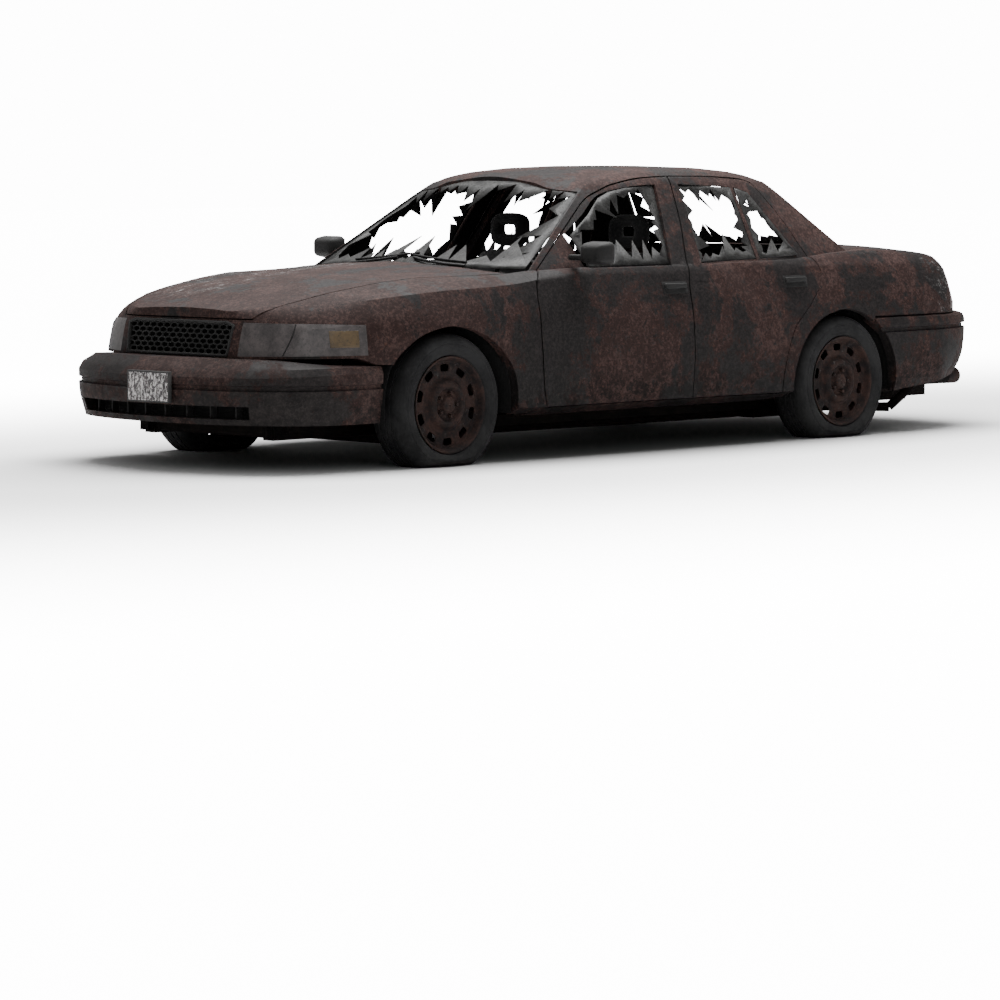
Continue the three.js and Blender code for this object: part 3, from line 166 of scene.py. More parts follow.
def rusted_paint(name, scratches=None):
    """Matt rust over old paint. scratches is (x low, x high, y low, y high) of a patch of chalky streaks."""
    f = Finish(name, 0.82, 0.0)
    f.shader.inputs["Specular IOR Level"].default_value = MATT
    broad = f.noise(1.7, 10, 0.72, twist=0.3)
    cloudy = f.noise(8.0, 10, 0.8)
    fine = f.noise(34.0, 9, 0.8)
    speck = f.noise(62.0, 9, 0.85)
    grain = f.noise(130.0, 4, 0.7)
    pale = f.between(f.sum(f.sum(cloudy, 0.35), f.sum(speck, 0.65), "ADD"), 0.485, 0.545)
    base = f.mix(pale, MAUVE, MAUVE_PALE)
    base = f.mix(f.sum(f.between(fine, 0.56, 0.64), 0.55), base, ORANGE)
    mottle = f.sum(f.sum(broad, 0.58), f.sum(f.sum(cloudy, 0.27), f.sum(speck, 0.15), "ADD"), "ADD")
    patch = f.between(mottle, 0.500, 0.522)
    char = f.mix(f.between(speck, 0.44, 0.58), CHARCOAL_DEEP, CHARCOAL)
    base = f.mix(f.sum(patch, 0.93), base, char)
    base = f.mix(f.sum(f.between(f.noise(16.0, 10, 0.88), 0.545, 0.59), 0.85), base, CHARCOAL_DEEP)
    base = f.mix(f.sum(f.between(grain, 0.57, 0.64), 0.65), base, SOOT)
    high = f.axis("Z")
    low_down = f.between(high, 0.56, 0.26)
    dirt = f.sum(low_down, f.between(f.noise(21.0, 8, 0.8), 0.46, 0.56))
    base = f.mix(f.sum(dirt, 0.80), base, SOOT)
    dusty = f.sum(f.between(f.axis("X"), -0.9, -2.3), f.between(high, 0.75, 0.3))
    base = f.mix(f.sum(f.sum(dusty, f.between(cloudy, 0.35, 0.6)), 0.14), base, DUST)
    if scratches:
        x0, x1, y0, y1 = scratches
        streak = f.between(f.noise(1.0, 10, 0.88, f.stretched(7.0, 52.0, 24.0), 0.3), 0.535, 0.60)
        region = f.sum(f.sum(f.between(f.axis("X"), x0, x0 + 0.25), f.between(f.axis("X"), x1, x1 - 0.25)),
                       f.sum(f.between(f.axis("Y"), y0, y0 + 0.15), f.between(f.axis("Y"), y1, y1 - 0.15)))
        worn = f.sum(f.sum(streak, f.between(cloudy, 0.40, 0.52)), region)
        base = f.mix(f.sum(worn, 0.62), base, CHALK)
    f.colour(base)
    f.rough(f.sum(fine, f.sum(patch, 0.5), "ADD"), 0.95, 0.62)
    f.relief(f.sum(f.sum(fine, 0.6), f.sum(grain, 0.4), "ADD"), 0.45, 0.0026)
    return f.material


def worn_black(name, tone=0.0055, dust=0.0125, gloss=0.62):
    f = Finish(name, gloss, 0.0)
    f.shader.inputs["Specular IOR Level"].default_value = TRIM_SHINE
    cloudy = f.noise(9.0, 7, 0.7)
    grain = f.noise(240.0, 3, 0.6)
    worn = (tone * 1.8, tone * 1.7, tone * 1.65)
    base = f.mix(f.between(cloudy, 0.4, 0.66), (tone, tone, tone), worn)
    dusted = f.sum(f.between(f.noise(34.0, 6, 0.75), 0.55, 0.70), 0.5)
    base = f.mix(dusted, base, (dust, dust * 0.93, dust * 0.86))
    f.colour(base)
    f.rough(cloudy, gloss - 0.12, gloss + 0.25)
    f.relief(grain, 0.25, 0.001)
    return f.material


def tyre_rubber():
    f = Finish("perished_tyre", 0.9)
    f.shader.inputs["Specular IOR Level"].default_value = MATT
    cloudy = f.noise(5.0, 8, 0.7)
    fine = f.noise(60.0, 6, 0.75)
    base = f.mix(f.between(cloudy, 0.36, 0.64), (0.0075, 0.0075, 0.0078), (0.0155, 0.0155, 0.0158))
    low = f.sum(f.between(f.axis("Z"), 0.30, 0.02), f.between(cloudy, 0.3, 0.6))
    base = f.mix(f.sum(low, 0.5), base, (0.025, 0.0245, 0.024))
    base = f.mix(f.sum(f.between(fine, 0.62, 0.74), 0.5), base, (0.004, 0.004, 0.004))
    f.colour(base)
    f.rough(cloudy, 0.78, 0.95)
    f.relief(fine, 0.3, 0.0015)
    return f.material


def wheel_steel():
    f = Finish("rusted_wheel_steel", 0.75, 0.1)
    f.shader.inputs["Specular IOR Level"].default_value = MATT
    cloudy = f.noise(10.0, 9, 0.72)
    fine = f.noise(70.0, 7, 0.75)
    base = f.mix(f.between(cloudy, 0.38, 0.62), (0.009, 0.0075, 0.0075), (0.026, 0.015, 0.0125))
    base = f.mix(f.sum(f.between(fine, 0.55, 0.72), 0.6), base, (0.056, 0.024, 0.016))
    base = f.mix(f.sum(f.between(f.noise(26.0, 7, 0.8), 0.58, 0.70), 0.55), base, (0.085, 0.080, 0.077))
    f.colour(base)
    f.rough(fine, 0.62, 0.9)
    f.relief(f.sum(fine, cloudy, "ADD"), 0.45, 0.0015)
    return f.material


# Underbody rust whose colours are also darkened as painted shade: it goes under the car and on the downward
# faces of the hood and boot lid.
def under_rust_and_shade():
    f = Finish("underbody_rust_and_painted_shade", 0.92, 0.0)
    f.shader.inputs["Specular IOR Level"].default_value = MATT
    cloudy = f.noise(7.0, 8, 0.72)
    fine = f.noise(60.0, 6, 0.7)
    base = f.mix(f.between(cloudy, 0.38, 0.62), (0.003, 0.0026, 0.0026), (0.008, 0.0056, 0.0048))
    base = f.mix(f.sum(f.between(fine, 0.56, 0.72), 0.55), base, (0.017, 0.009, 0.0065))
    f.colour(base)
    f.relief(fine, 0.5, 0.002)
    return f.material


def dirty_glass():
    f = Finish("dirty_broken_glass", 0.34, 0.0)
    f.shader.inputs["Specular IOR Level"].default_value = MATT
    cloudy = f.noise(9.0, 8, 0.72)
    fine = f.noise(95.0, 6, 0.72)
    base = f.mix(f.between(cloudy, 0.36, 0.66), (0.012, 0.012, 0.012), (0.036, 0.036, 0.035))
    base = f.mix(f.sum(f.between(fine, 0.50, 0.60), 0.8), base, (0.010, 0.009, 0.0085))
    f.colour(base)
    f.rough(fine, 0.2, 0.7)
    cover = f.tree.nodes.new("ShaderNodeMapRange")
    f.link(f.sum(f.sum(cloudy, 0.5), f.sum(fine, 0.5), "ADD"), cover.inputs["Value"])
    cover.inputs["From Min"].default_value = 0.36
    cover.inputs["From Max"].default_value = 0.62
    cover.inputs["To Min"].default_value = 0.980
    cover.inputs["To Max"].default_value = 1.0
    f.tree.links.new(cover.outputs["Result"], f.shader.inputs["Alpha"])
    return f.material


def lamp_glass(name, pale, dark, spots):
    f = Finish(name, 0.32, 0.0)
    f.shader.inputs["Specular IOR Level"].default_value = LENS_SHINE
    cloudy = f.noise(11.0, 8, 0.75)
    fine = f.noise(80.0, 7, 0.75)
    flutes = f.noise(1.0, 3, 0.5, f.stretched(60.0, 60.0, 3.0))
    base = f.mix(f.between(cloudy, 0.34, 0.66), dark, pale)
    base = f.mix(f.sum(f.between(fine, 0.52, 0.66), 0.65), base, spots)
    f.colour(base)
    f.rough(fine, 0.22, 0.62)
    f.relief(f.sum(flutes, fine, "ADD"), 0.3, 0.002)
    f.shader.inputs["Coat Weight"].default_value = 0.08
    return f.material


def blank_plate():
    f = Finish("worn_blank_plate", 0.6, 0.1)
    flakes = f.noise(1.0, 8, 0.8, f.stretched(60.0, 62.0, 34.0), 0.6)
    cloudy = f.noise(26.0, 7, 0.75)
    base = f.mix(f.between(flakes, 0.455, 0.51), (0.420, 0.400, 0.395), (0.016, 0.013, 0.013))
    base = f.mix(f.sum(f.between(cloudy, 0.54, 0.68), 0.7), base, (0.050, 0.032, 0.030))
    f.colour(base)
    f.relief(flakes, 0.4, 0.001)
    return f.material


def seat_cloth():
    f = Finish("dusty_black_cloth", 0.95, 0.0)
    weave = f.sum(f.noise(1.0, 2, 0.5, f.stretched(900.0, 160.0, 160.0)),
                  f.noise(1.0, 2, 0.5, f.stretched(160.0, 900.0, 900.0)), "ADD")
    cloudy = f.noise(7.0, 7, 0.7)
    base = f.mix(f.between(cloudy, 0.4, 0.65), (0.006, 0.006, 0.0065), (0.014, 0.0135, 0.013))
    f.colour(base)
    f.relief(weave, 0.35, 0.0012)
    f.shader.inputs["Sheen Weight"].default_value = 0.12
    return f.material


def dusty_mirror():
    f = Finish("dusty_mirror", 0.25, 0.9)
    cloudy = f.noise(40.0, 7, 0.75)
    f.colour(f.mix(f.between(cloudy, 0.45, 0.65), (0.25, 0.26, 0.27), (0.06, 0.055, 0.05)))
    return f.material


# Patches of chalky streaks: x low, x high, y low, y high
HOOD_STREAKS = (-2.35, -0.95, 0.05, 0.75)
TAIL_STREAKS = (2.05, 2.75, -1.15, -0.45)

RUST = rusted_paint("rusted_paint")
HOOD_RUST = rusted_paint("rusted_hood_paint", HOOD_STREAKS)
TAIL_RUST = rusted_paint("rusted_tail_paint", TAIL_STREAKS)
TRIM = worn_black("worn_black_trim")
INNER = worn_black("sooty_inner_trim", 0.005, 0.012, 0.85)
# A black darker than the trim, painted as the shade inside openings and hollows: behind the grille and the
# intake, in the door tops, behind the rear bumper's top edge and in the wheel arches.
SEAL = worn_black("perished_window_seal", 0.005, 0.016, 0.7)
SHADE_BLACK = worn_black("painted_shade_black", 0.0015, 0.003, 0.95)
BRACKET = worn_black("worn_grey_bracket", 0.022, 0.05, 0.7)
TYRE = tyre_rubber()
STEEL = wheel_steel()
UNDER_RUST_AND_SHADE = under_rust_and_shade()
GLASS = dirty_glass()
LENS = lamp_glass("dirty_headlamp_glass", (0.052, 0.044, 0.043), (0.022, 0.019, 0.019),
                  (0.009, 0.008, 0.0075))
AMBER = lamp_glass("dirty_amber_glass", (0.068, 0.044, 0.018), (0.030, 0.020, 0.010),
                   (0.009, 0.006, 0.005))
TAIL = lamp_glass("dirty_tail_glass", (0.070, 0.048, 0.048), (0.026, 0.014, 0.014),
                  (0.280, 0.250, 0.250))
RED = lamp_glass("dirty_red_glass", (0.072, 0.015, 0.017), (0.024, 0.008, 0.009),
                 (0.330, 0.290, 0.290))
PLATE = blank_plate()
CLOTH = seat_cloth()
MIRROR = dusty_mirror()


# Making pieces

def piece(name, bm, body, finishes, slot, sharp=38):
    mesh = bpy.data.meshes.new(name)
    bm.to_mesh(mesh)
    bm.free()
    for finish in finishes:
        mesh.materials.append(finish)
    mesh.polygons.foreach_set("use_smooth", [True] * len(mesh.polygons))
    if sharp:
        mesh.set_sharp_from_angle(angle=math.radians(sharp))
    made = bpy.data.objects.new(name, mesh)
    bpy.context.scene.collection.objects.link(made)
    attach(made, body)
    return made


def thicken(made, depth, offset=-1.0):
    modifier = made.modifiers.new("wall", "SOLIDIFY")
    modifier.thickness = depth
    modifier.offset = offset
    return made


def soften(made, level=1):
    modifier = made.modifiers.new("soft", "SUBSURF")
    modifier.levels = level
    modifier.render_levels = level
    return made


def round_edges(made, width, segments=2, angle=35):
    modifier = made.modifiers.new("edges", "BEVEL")
    modifier.width = width
    modifier.segments = segments
    modifier.limit_method = "ANGLE"
    modifier.angle_limit = math.radians(angle)
    modifier.harden_normals = False
    return made


def merged(node):
    bm = bmesh.new()
    bm.from_mesh(frame["nodes"][node].data)
    bmesh.ops.remove_doubles(bm, verts=bm.verts, dist=2e-5)
    return bm


def relax(bm, rounds):
    """Evens out facets without shrinking: free points move to their neighbours' middle and partly back,
    and points on a crease move only along it."""
    bm.verts.index_update()
    creased = [[e for e in v.link_edges if not e.smooth or len(e.link_faces) != 2] for v in bm.verts]
    heads, tails = [], []
    for v, hard in zip(bm.verts, creased):
        if not hard:
            links = v.link_edges
        elif len(hard) == 2:
            a, b = (e.other_vert(v).co - v.co for e in hard)
            if a.length < 1e-6 or b.length < 1e-6 or a.angle(b) < math.radians(128):
                continue
            links = hard
        else:
            continue
        for e in links:
            heads.append(v.index)
            tails.append(e.other_vert(v).index)
    if not heads:
        return
    heads, tails = np.array(heads), np.array(tails)
    places = np.array([v.co for v in bm.verts])
    counts = np.bincount(heads, minlength=len(places)).astype(float)
    moving = counts > 0
    for turn in range(rounds * 2):
        sums = np.zeros_like(places)
        np.add.at(sums, heads, places[tails])
        middle = places.copy()
        middle[moving] = sums[moving] / counts[moving, None]
        places += (middle - places) * (0.5 if turn % 2 == 0 else -0.51)
    for v, place in zip(bm.verts, places):
        v.co = place


def smoothed(node, crease=30, longest=0.06, rounds=8, waves=0.0012):
    bm = merged(node)
    bmesh.ops.dissolve_limit(bm, angle_limit=math.radians(0.6), verts=bm.verts, edges=bm.edges)
    bmesh.ops.triangulate(bm, faces=bm.faces, quad_method="BEAUTY", ngon_method="BEAUTY")
    for e in bm.edges:
        e.smooth = len(e.link_faces) == 2 and e.calc_face_angle(0) < math.radians(crease)
    for _ in range(5):
        long_edges = [e for e in bm.edges if e.calc_length() > longest]
        if not long_edges:
            break
        bmesh.ops.subdivide_edges(bm, edges=long_edges, cuts=1)
        bmesh.ops.triangulate(bm, faces=[g for g in bm.faces if len(g.verts) > 3])
        flat = [e for e in bm.edges if len(e.link_faces) == 2 and e.calc_face_angle(0) < math.radians(1.5)]
        bmesh.ops.beautify_fill(bm, faces=bm.faces, edges=flat)
    relax(bm, rounds)
    bm.normal_update()
    if waves:
        for v in bm.verts:
            v.co += v.normal * waves * noise.noise(v.co * 3.1)
    return bm


CABIN = Vector((0.2, 0.0, 0.75))


def inward_faces(bm, kind):
    """Gives the second finish to faces that look into the cabin or down into the bay."""
    for g in bm.faces:
        middle = g.calc_center_median()
        if kind == "cabin":
            out = middle - CABIN
            out.x *= 0.3
            inside = g.normal.dot(out.normalized()) < -0.25
        else:
            inside = g.normal.z < -0.45
        g.material_index = 1 if inside else 0


def body_of(node):
    for body, nodes in frame["record"]["behaviour"]["bodies"].items():
        if node in nodes:
            return body
    return "root"


def panel(node, finishes, slot, kind=None, **options):
    bm = smoothed(node, **options)
    if kind:
        inward_faces(bm, kind)
    made = piece(node + "_shaped", bm, body_of(node), finishes, slot, sharp=0)
    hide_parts(node)
    return made


def tube(name, points, radius, body, finish, slot, sides=3, closed=False, flat=None):
    """A round bar through the points, made as a curve and kept as a mesh."""
    curve = bpy.data.curves.new(name, "CURVE")
    curve.dimensions = "3D"
    curve.bevel_depth = radius
    curve.bevel_resolution = sides
    curve.use_fill_caps = not closed
    spline = curve.splines.new("POLY")
    spline.points.add(len(points) - 1)
    for slot_point, place in zip(spline.points, points):
        slot_point.co = (*place, 1.0)
    spline.use_cyclic_u = closed
    holder = bpy.data.objects.new(name + "_path", curve)
    bpy.context.scene.collection.objects.link(holder)
    bpy.context.view_layer.update()
    bm = bmesh.new()
    bm.from_mesh(holder.evaluated_get(bpy.context.evaluated_depsgraph_get()).to_mesh())
    bpy.data.objects.remove(holder)
    bpy.data.curves.remove(curve)
    bmesh.ops.remove_doubles(bm, verts=bm.verts, dist=1e-6)
    bmesh.ops.recalc_face_normals(bm, faces=bm.faces)
    if flat:
        middle, scale = flat
        bmesh.ops.scale(bm, vec=scale, space=Matrix.Translation(-Vector(middle)), verts=bm.verts)
    return piece(name, bm, body, [finish], slot)


def rounded_block(low, high, bevel, segments=3):
    low, high = Vector(low), Vector(high)
    bm = bmesh.new()
    bmesh.ops.create_cube(bm, size=1.0)
    bmesh.ops.scale(bm, vec=high - low, verts=bm.verts)
    bmesh.ops.translate(bm, vec=(low + high) / 2, verts=bm.verts)
    bmesh.ops.bevel(bm, geom=bm.edges[:], offset=bevel, segments=segments, affect="EDGES", profile=0.5,
                    material=-1)
    return bm


def on_side(bm, sign):
    """Turns a form that is drawn on the right into its left twin where sign is below 0."""
    if sign < 0:
        bm.transform(Matrix.Scale(-1, 4, (0, 1, 0)))
        bmesh.ops.recalc_face_normals(bm, faces=bm.faces)
    return bm


def tree_of(made):
    """Surface of a finished piece or CAD node, for laying trim on it."""
    bm = bmesh.new()
    bm.from_mesh(made.data)
    tree = BVHTree.FromBMesh(bm)
    bm.free()
    return tree


def laid(tree, start, direction, lift=0.0):
    """Where a ray meets the surface, moved back by lift."""
    direction = Vector(direction).normalized()
    hit = tree.ray_cast(Vector(start), direction, 4.0)[0]
    return None if hit is None else hit - direction * lift


def patch(name, tree, rows, direction, lift, depth, body, finish, slot):
    """A thin plate over a grid of start points, laid on the surface."""
    bm = bmesh.new()
    grid = []
    for row in rows:
        line = []
        for start in row:
            place = laid(tree, start, direction, lift)
            line.append(None if place is None else bm.verts.new(place))
        grid.append(line)
    for upper, lower in zip(grid, grid[1:]):
        for i in range(len(upper) - 1):
            corners = [upper[i], upper[i + 1], lower[i + 1], lower[i]]
            if all(corners):
                bm.faces.new(corners)
    bmesh.ops.recalc_face_normals(bm, faces=bm.faces)
    outward = -Vector(direction)
    if sum((g.normal.dot(outward) for g in bm.faces), 0.0) < 0:
        bmesh.ops.reverse_faces(bm, faces=bm.faces)
    made = piece(name, bm, body, [finish], slot)
    return thicken(made, depth)


# Body panels

panels = {}
panels["body_cage"] = panel("body_cage", [RUST, INNER], "rusted_paint", "cabin")
panels["header_panel"] = panel("header_panel", [RUST], "rusted_paint")
# The hood's and boot lid's downward faces get the underbody finish, darkened as painted shade.
panels["hood"] = panel("hood", [HOOD_RUST, UNDER_RUST_AND_SHADE], "rusted_paint", "below")
panels["boot_lid"] = panel("boot_lid", [TAIL_RUST, UNDER_RUST_AND_SHADE], "rusted_paint", "below", crease=26)
panels["front_bumper"] = panel("front_bumper", [RUST], "rusted_paint", crease=24)
panels["rear_bumper"] = panel("rear_bumper", [RUST], "rusted_paint", crease=24)
for side, sign in SIDES:
    panels["front_wing_" + side] = panel("front_wing_" + side, [RUST], "rusted_paint")
    panels["quarter_panel_" + side] = panel("quarter_panel_" + side, [TAIL_RUST], "rusted_paint")
    for end in ("front", "rear"):
        node = f"{end}_door_{side}"
        panels[node] = panel(node, [RUST, INNER], "rusted_paint", "cabin")


# Wheels

# Columns: radius, offset outward from the wheel's middle plane
TYRE_SECTION = [(0.240, 0.100), (0.252, 0.109), (0.268, 0.1125), (0.285, 0.1140), (0.292, 0.1140),
                (0.296, 0.1115), (0.300, 0.1125), (0.318, 0.1085), (0.332, 0.0960), (0.341, 0.0790),
                (0.3445, 0.0600), (0.3448, 0.0440), (0.3400, 0.0425), (0.3400, 0.0375), (0.3448, 0.0360),
                (0.3450, 0.0040), (0.3400, 0.0030), (0.3400, 0.0)]
RIM_SECTION = [(0.001, 0.100), (0.026, 0.100), (0.036, 0.098), (0.040, 0.090), (0.044, 0.076), (0.062, 0.073),
               (0.074, 0.075), (0.080, 0.088), (0.088, 0.098), (0.104, 0.096), (0.116, 0.086), (0.124, 0.071),
               (0.136, 0.066), (0.152, 0.069), (0.162, 0.072), (0.180, 0.073), (0.199, 0.072), (0.205, 0.068),
               (0.211, 0.070), (0.216, 0.082), (0.222, 0.098), (0.228, 0.106), (0.236, 0.107),
               (0.2375, 0.102), (0.2340, 0.094), (0.2240, 0.088), (0.2180, 0.060), (0.2120, 0.0),
               (0.2180, -0.070), (0.2260, -0.096), (0.2360, -0.104)]
HOLE_BAND = (0.160, 0.200)
TYRE_STEPS = 96
RIM_STEPS = 60
TYRE_BULGE = 0.2134
SHEET = 0.004
NUT_COUNT = 5
NUT_CIRCLE = 0.058
NUT_OUT = 0.086


def spun(section, steps):
    """A section of radius and offset turned about the Y axis."""
    bm = bmesh.new()
    points = [bm.verts.new((radius, offset, 0.0)) for radius, offset in section]
    edges = [bm.edges.new(pair) for pair in zip(points, points[1:])]
    bmesh.ops.spin(bm, geom=points + edges, cent=(0, 0, 0), axis=(0, 1, 0), angle=math.tau, steps=steps,
                   use_merge=True)
    bmesh.ops.remove_doubles(bm, verts=bm.verts, dist=1e-5)
    return bm


def tyre_form():
    back = [(radius, -offset) for radius, offset in reversed(TYRE_SECTION[:-1])]
    bm = spun(TYRE_SECTION + back + TYRE_SECTION[:1], TYRE_STEPS)
    bmesh.ops.recalc_face_normals(bm, faces=bm.faces)
    for v in bm.verts:
        radius = math.hypot(v.co.x, v.co.z)
        down = -v.co.z / radius
        if down <= 0:
            continue
        reach = min(TYRE_R, HUB_Z / down)
        share = min(1.0, max(0.0, (radius - RIM_R) / (TYRE_R - RIM_R)))
        pressed = RIM_R + (reach - RIM_R) * share
        squash = (TYRE_R - reach) / (TYRE_R - HUB_Z)
        middle = math.sin(math.pi * share)
        v.co.x *= pressed / radius
        v.co.z *= pressed / radius
        v.co.y *= 1 + TYRE_BULGE * squash * middle
    return bm


def rim_form():
    bm = spun(RIM_SECTION, RIM_STEPS)
    step = math.tau / RIM_STEPS
    cut = []
    for g in bm.faces:
        middle = g.calc_center_median()
        radius = math.hypot(middle.x, middle.z)
        sector = int(math.floor((math.atan2(middle.z, middle.x) % math.tau) / step + 1e-6)) % 6
        if HOLE_BAND[0] < radius < HOLE_BAND[1] and middle.y > 0 and sector in (1, 2, 3):
            cut.append(g)
    bmesh.ops.delete(bm, geom=cut, context="FACES")
    bmesh.ops.recalc_face_normals(bm, faces=bm.faces)
    front = [g for g in bm.faces if g.calc_center_median().y > 0.09 and g.normal.y < -0.5]
    if len(front) > RIM_STEPS:
        bmesh.ops.reverse_faces(bm, faces=bm.faces)
    return bm


def nut_forms():
    bm = bmesh.new()
    for i in range(NUT_COUNT):
        angle = math.tau * (i + 0.5) / NUT_COUNT
        spot = Matrix.Translation((NUT_CIRCLE * math.cos(angle), NUT_OUT, NUT_CIRCLE * math.sin(angle)))
        bmesh.ops.create_cone(bm, cap_ends=True, segments=6, radius1=0.0115, radius2=0.0095, depth=0.018,
                              matrix=spot @ Matrix.Rotation(-math.pi / 2, 4, "X"))
    bmesh.ops.bevel(bm, geom=bm.edges[:], offset=0.0015, segments=1, affect="EDGES", profile=0.5,
                    material=-1)
    return bm


def put_wheel(bm, x, sign):
    turn = Matrix.Rotation(math.pi if sign < 0 else 0.0, 4, "Z")
    bm.transform(Matrix.Translation((x, sign * WHEEL_Y, HUB_Z)) @ turn)
    return bm


for end, x in ENDS:
    for side, sign in SIDES:
        body = f"wheel_{end}_{side}"
        tyre = piece(f"flat_tyre_{end}_{side}", put_wheel(tyre_form(), x, sign), body, [TYRE],
                     "tyre_rubber", 30)
        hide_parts(f"tyre_{end}_{side}")
        rim = piece(f"steel_wheel_{end}_{side}", put_wheel(rim_form(), x, sign), body, [STEEL],
                    "rusty_steel", 50)
        soften(rim, 1)
        thicken(rim, SHEET)
        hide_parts(f"rim_{end}_{side}")
        piece(f"wheel_nuts_{end}_{side}", put_wheel(nut_forms(), x, sign), body, [STEEL], "rusty_steel", 30)


# Broken glass

def surface_fit(node, axis):
    """Smooth surface through a pane's points: one axis as a function of the other two."""
    places = np.array([v.co for v in frame["nodes"][node].data.vertices])
    a, b = [i for i in range(3) if i != axis]
    lift = places[:, axis]
    u, w = places[:, a], places[:, b]

    def terms(u, w):
        if axis == 0:
            return [np.ones_like(u), w, w * w, u * u, u ** 4, u * u * w]
        return [np.ones_like(u), u, w, u * u, w * w, u * w]

    answer = np.linalg.lstsq(np.stack(terms(u, w), 1), lift, rcond=None)[0]

    def place(u, w):
        values = [float(t) for t in terms(np.float64(u), np.float64(w))]
        return float(np.dot(answer, np.array(values)))

    return place


def shards(outline, pitch, longest):
    """Faces of a jagged ring of glass inside a flat outline, as lists of points."""
    size = len(outline)
    middle = (sum(p[0] for p in outline) / size, sum(p[1] for p in outline) / size)
    rim = []
    for i in range(size):
        (x0, y0), (x1, y1) = outline[i], outline[(i + 1) % size]
        length = math.hypot(x1 - x0, y1 - y0)
        count = max(1, round(length / pitch))
        for k in range(count):
            share = (k + chance.uniform(-0.25, 0.25) * (k > 0)) / count
            spot = (x0 + (x1 - x0) * share, y0 + (y1 - y0) * share)
            rim.append((*spot, (y1 - y0) / length, -(x1 - x0) / length))
    turn = sum(a[0] * b[1] - b[0] * a[1] for a, b in zip(outline, outline[1:] + outline[:1]))
    flip = -1 if turn > 0 else 1

    def inward(p, depth, skew=0.0):
        toward = Vector((middle[0] - p[0], middle[1] - p[1])).normalized()
        normal = Vector((p[2] * flip, p[3] * flip))
        way = (toward * 0.5 + normal * 0.7 + Vector((-normal.y, normal.x)) * skew).normalized()
        return (p[0] + way.x * depth, p[1] + way.y * depth)

    valleys = [inward(p, chance.uniform(0.010, 0.045)) for p in rim]
    faces = []
    for i, p in enumerate(rim):
        q = rim[(i + 1) % len(rim)]
        half = ((p[0] + q[0]) / 2, (p[1] + q[1]) / 2, p[2], p[3])
        depth = longest * chance.choice((0.3, 0.45, 0.6, 0.8, 1.0)) * chance.uniform(0.75, 1.1)
        peak = inward(half, depth, chance.uniform(-0.5, 0.5))
        faces.append([(p[0], p[1]), (q[0], q[1]), valleys[(i + 1) % len(rim)], peak, valleys[i]])
    return faces


def broken_pane(name, node, panes, axis):
    """Jagged glass in place of a node. A pane is its outline, the shards' pitch and the longest shard."""
    place = surface_fit(node, axis)
    bm = bmesh.new()
    for outline, pitch, longest in panes:
        for face in shards(outline, pitch, longest):
            corners = []
            for u, w in face:
                spot = [u, w]
                spot.insert(axis, place(u, w))
                corners.append(bm.verts.new(spot))
            bm.faces.new(corners)
    bmesh.ops.remove_doubles(bm, verts=bm.verts, dist=1e-5)
    bmesh.ops.triangulate(bm, faces=bm.faces)
    bmesh.ops.recalc_face_normals(bm, faces=bm.faces)
    made = piece(name, bm, body_of(node), [GLASS], "dirty_glass", 20)
    thicken(made, PANE, 0.0)
    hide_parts(node)


PANE = 0.004


def drawn(points):
    return [(along(x), z / 1000) for x, z in points]


FRONT_WINDOW = drawn([(-407, 934), (-446, 1093), (-265, 1190), (-141, 1273), (-49, 1303), (114, 1327),
                      (305, 1336), (196, 936)])
REAR_WINDOW = drawn([(430, 942), (489, 1336), (889, 1318), (869, 951)])
QUARTER_WINDOW = drawn([(902, 953), (921, 1315), (1008, 1292), (1210, 965)])


for side, sign in SIDES:
    broken_pane(f"front_door_shards_{side}", f"front_door_glass_{side}", [(FRONT_WINDOW, 0.085, 0.15)], 1)
    broken_pane(f"rear_door_shards_{side}", f"rear_door_glass_{side}",
                [(REAR_WINDOW, 0.075, 0.13), (QUARTER_WINDOW, 0.075, 0.11)], 1)

WINDSCREEN = [(-0.735, 0.930), (-0.40, 0.934), (0.0, 0.936), (0.40, 0.934), (0.735, 0.930), (0.665, 1.10),
              (0.568, 1.290), (0.525, 1.335), (0.30, 1.352), (0.0, 1.358), (-0.30, 1.352), (-0.525, 1.335),
              (-0.568, 1.290), (-0.665, 1.10)]
BACKLIGHT = [(-0.685, 1.006), (-0.35, 1.004), (0.0, 1.004), (0.35, 1.004), (0.685, 1.006), (0.600, 1.150),
             (0.518, 1.290), (0.46, 1.335), (0.25, 1.352), (0.0, 1.356), (-0.25, 1.352), (-0.46, 1.335),
             (-0.518, 1.290), (-0.600, 1.150)]
broken_pane("windscreen_shards", "windscreen_glass", [(WINDSCREEN, 0.10, 0.17)], 0)
broken_pane("rear_window_shards", "rear_window_glass", [(BACKLIGHT, 0.095, 0.16)], 0)


# Grille

grille_at = surface_fit("grille", 0)
GRILLE_FOOT = 0.541
GRILLE_EDGE = [(-0.365, GRILLE_FOOT), (0.365, GRILLE_FOOT), (0.383, 0.694), (0.330, 0.710),
               (-0.330, 0.710), (-0.383, 0.694)]
CELL = (0.050, 0.0235)
CELL_WALL = 0.0036
SURROUND_BAND = 0.013


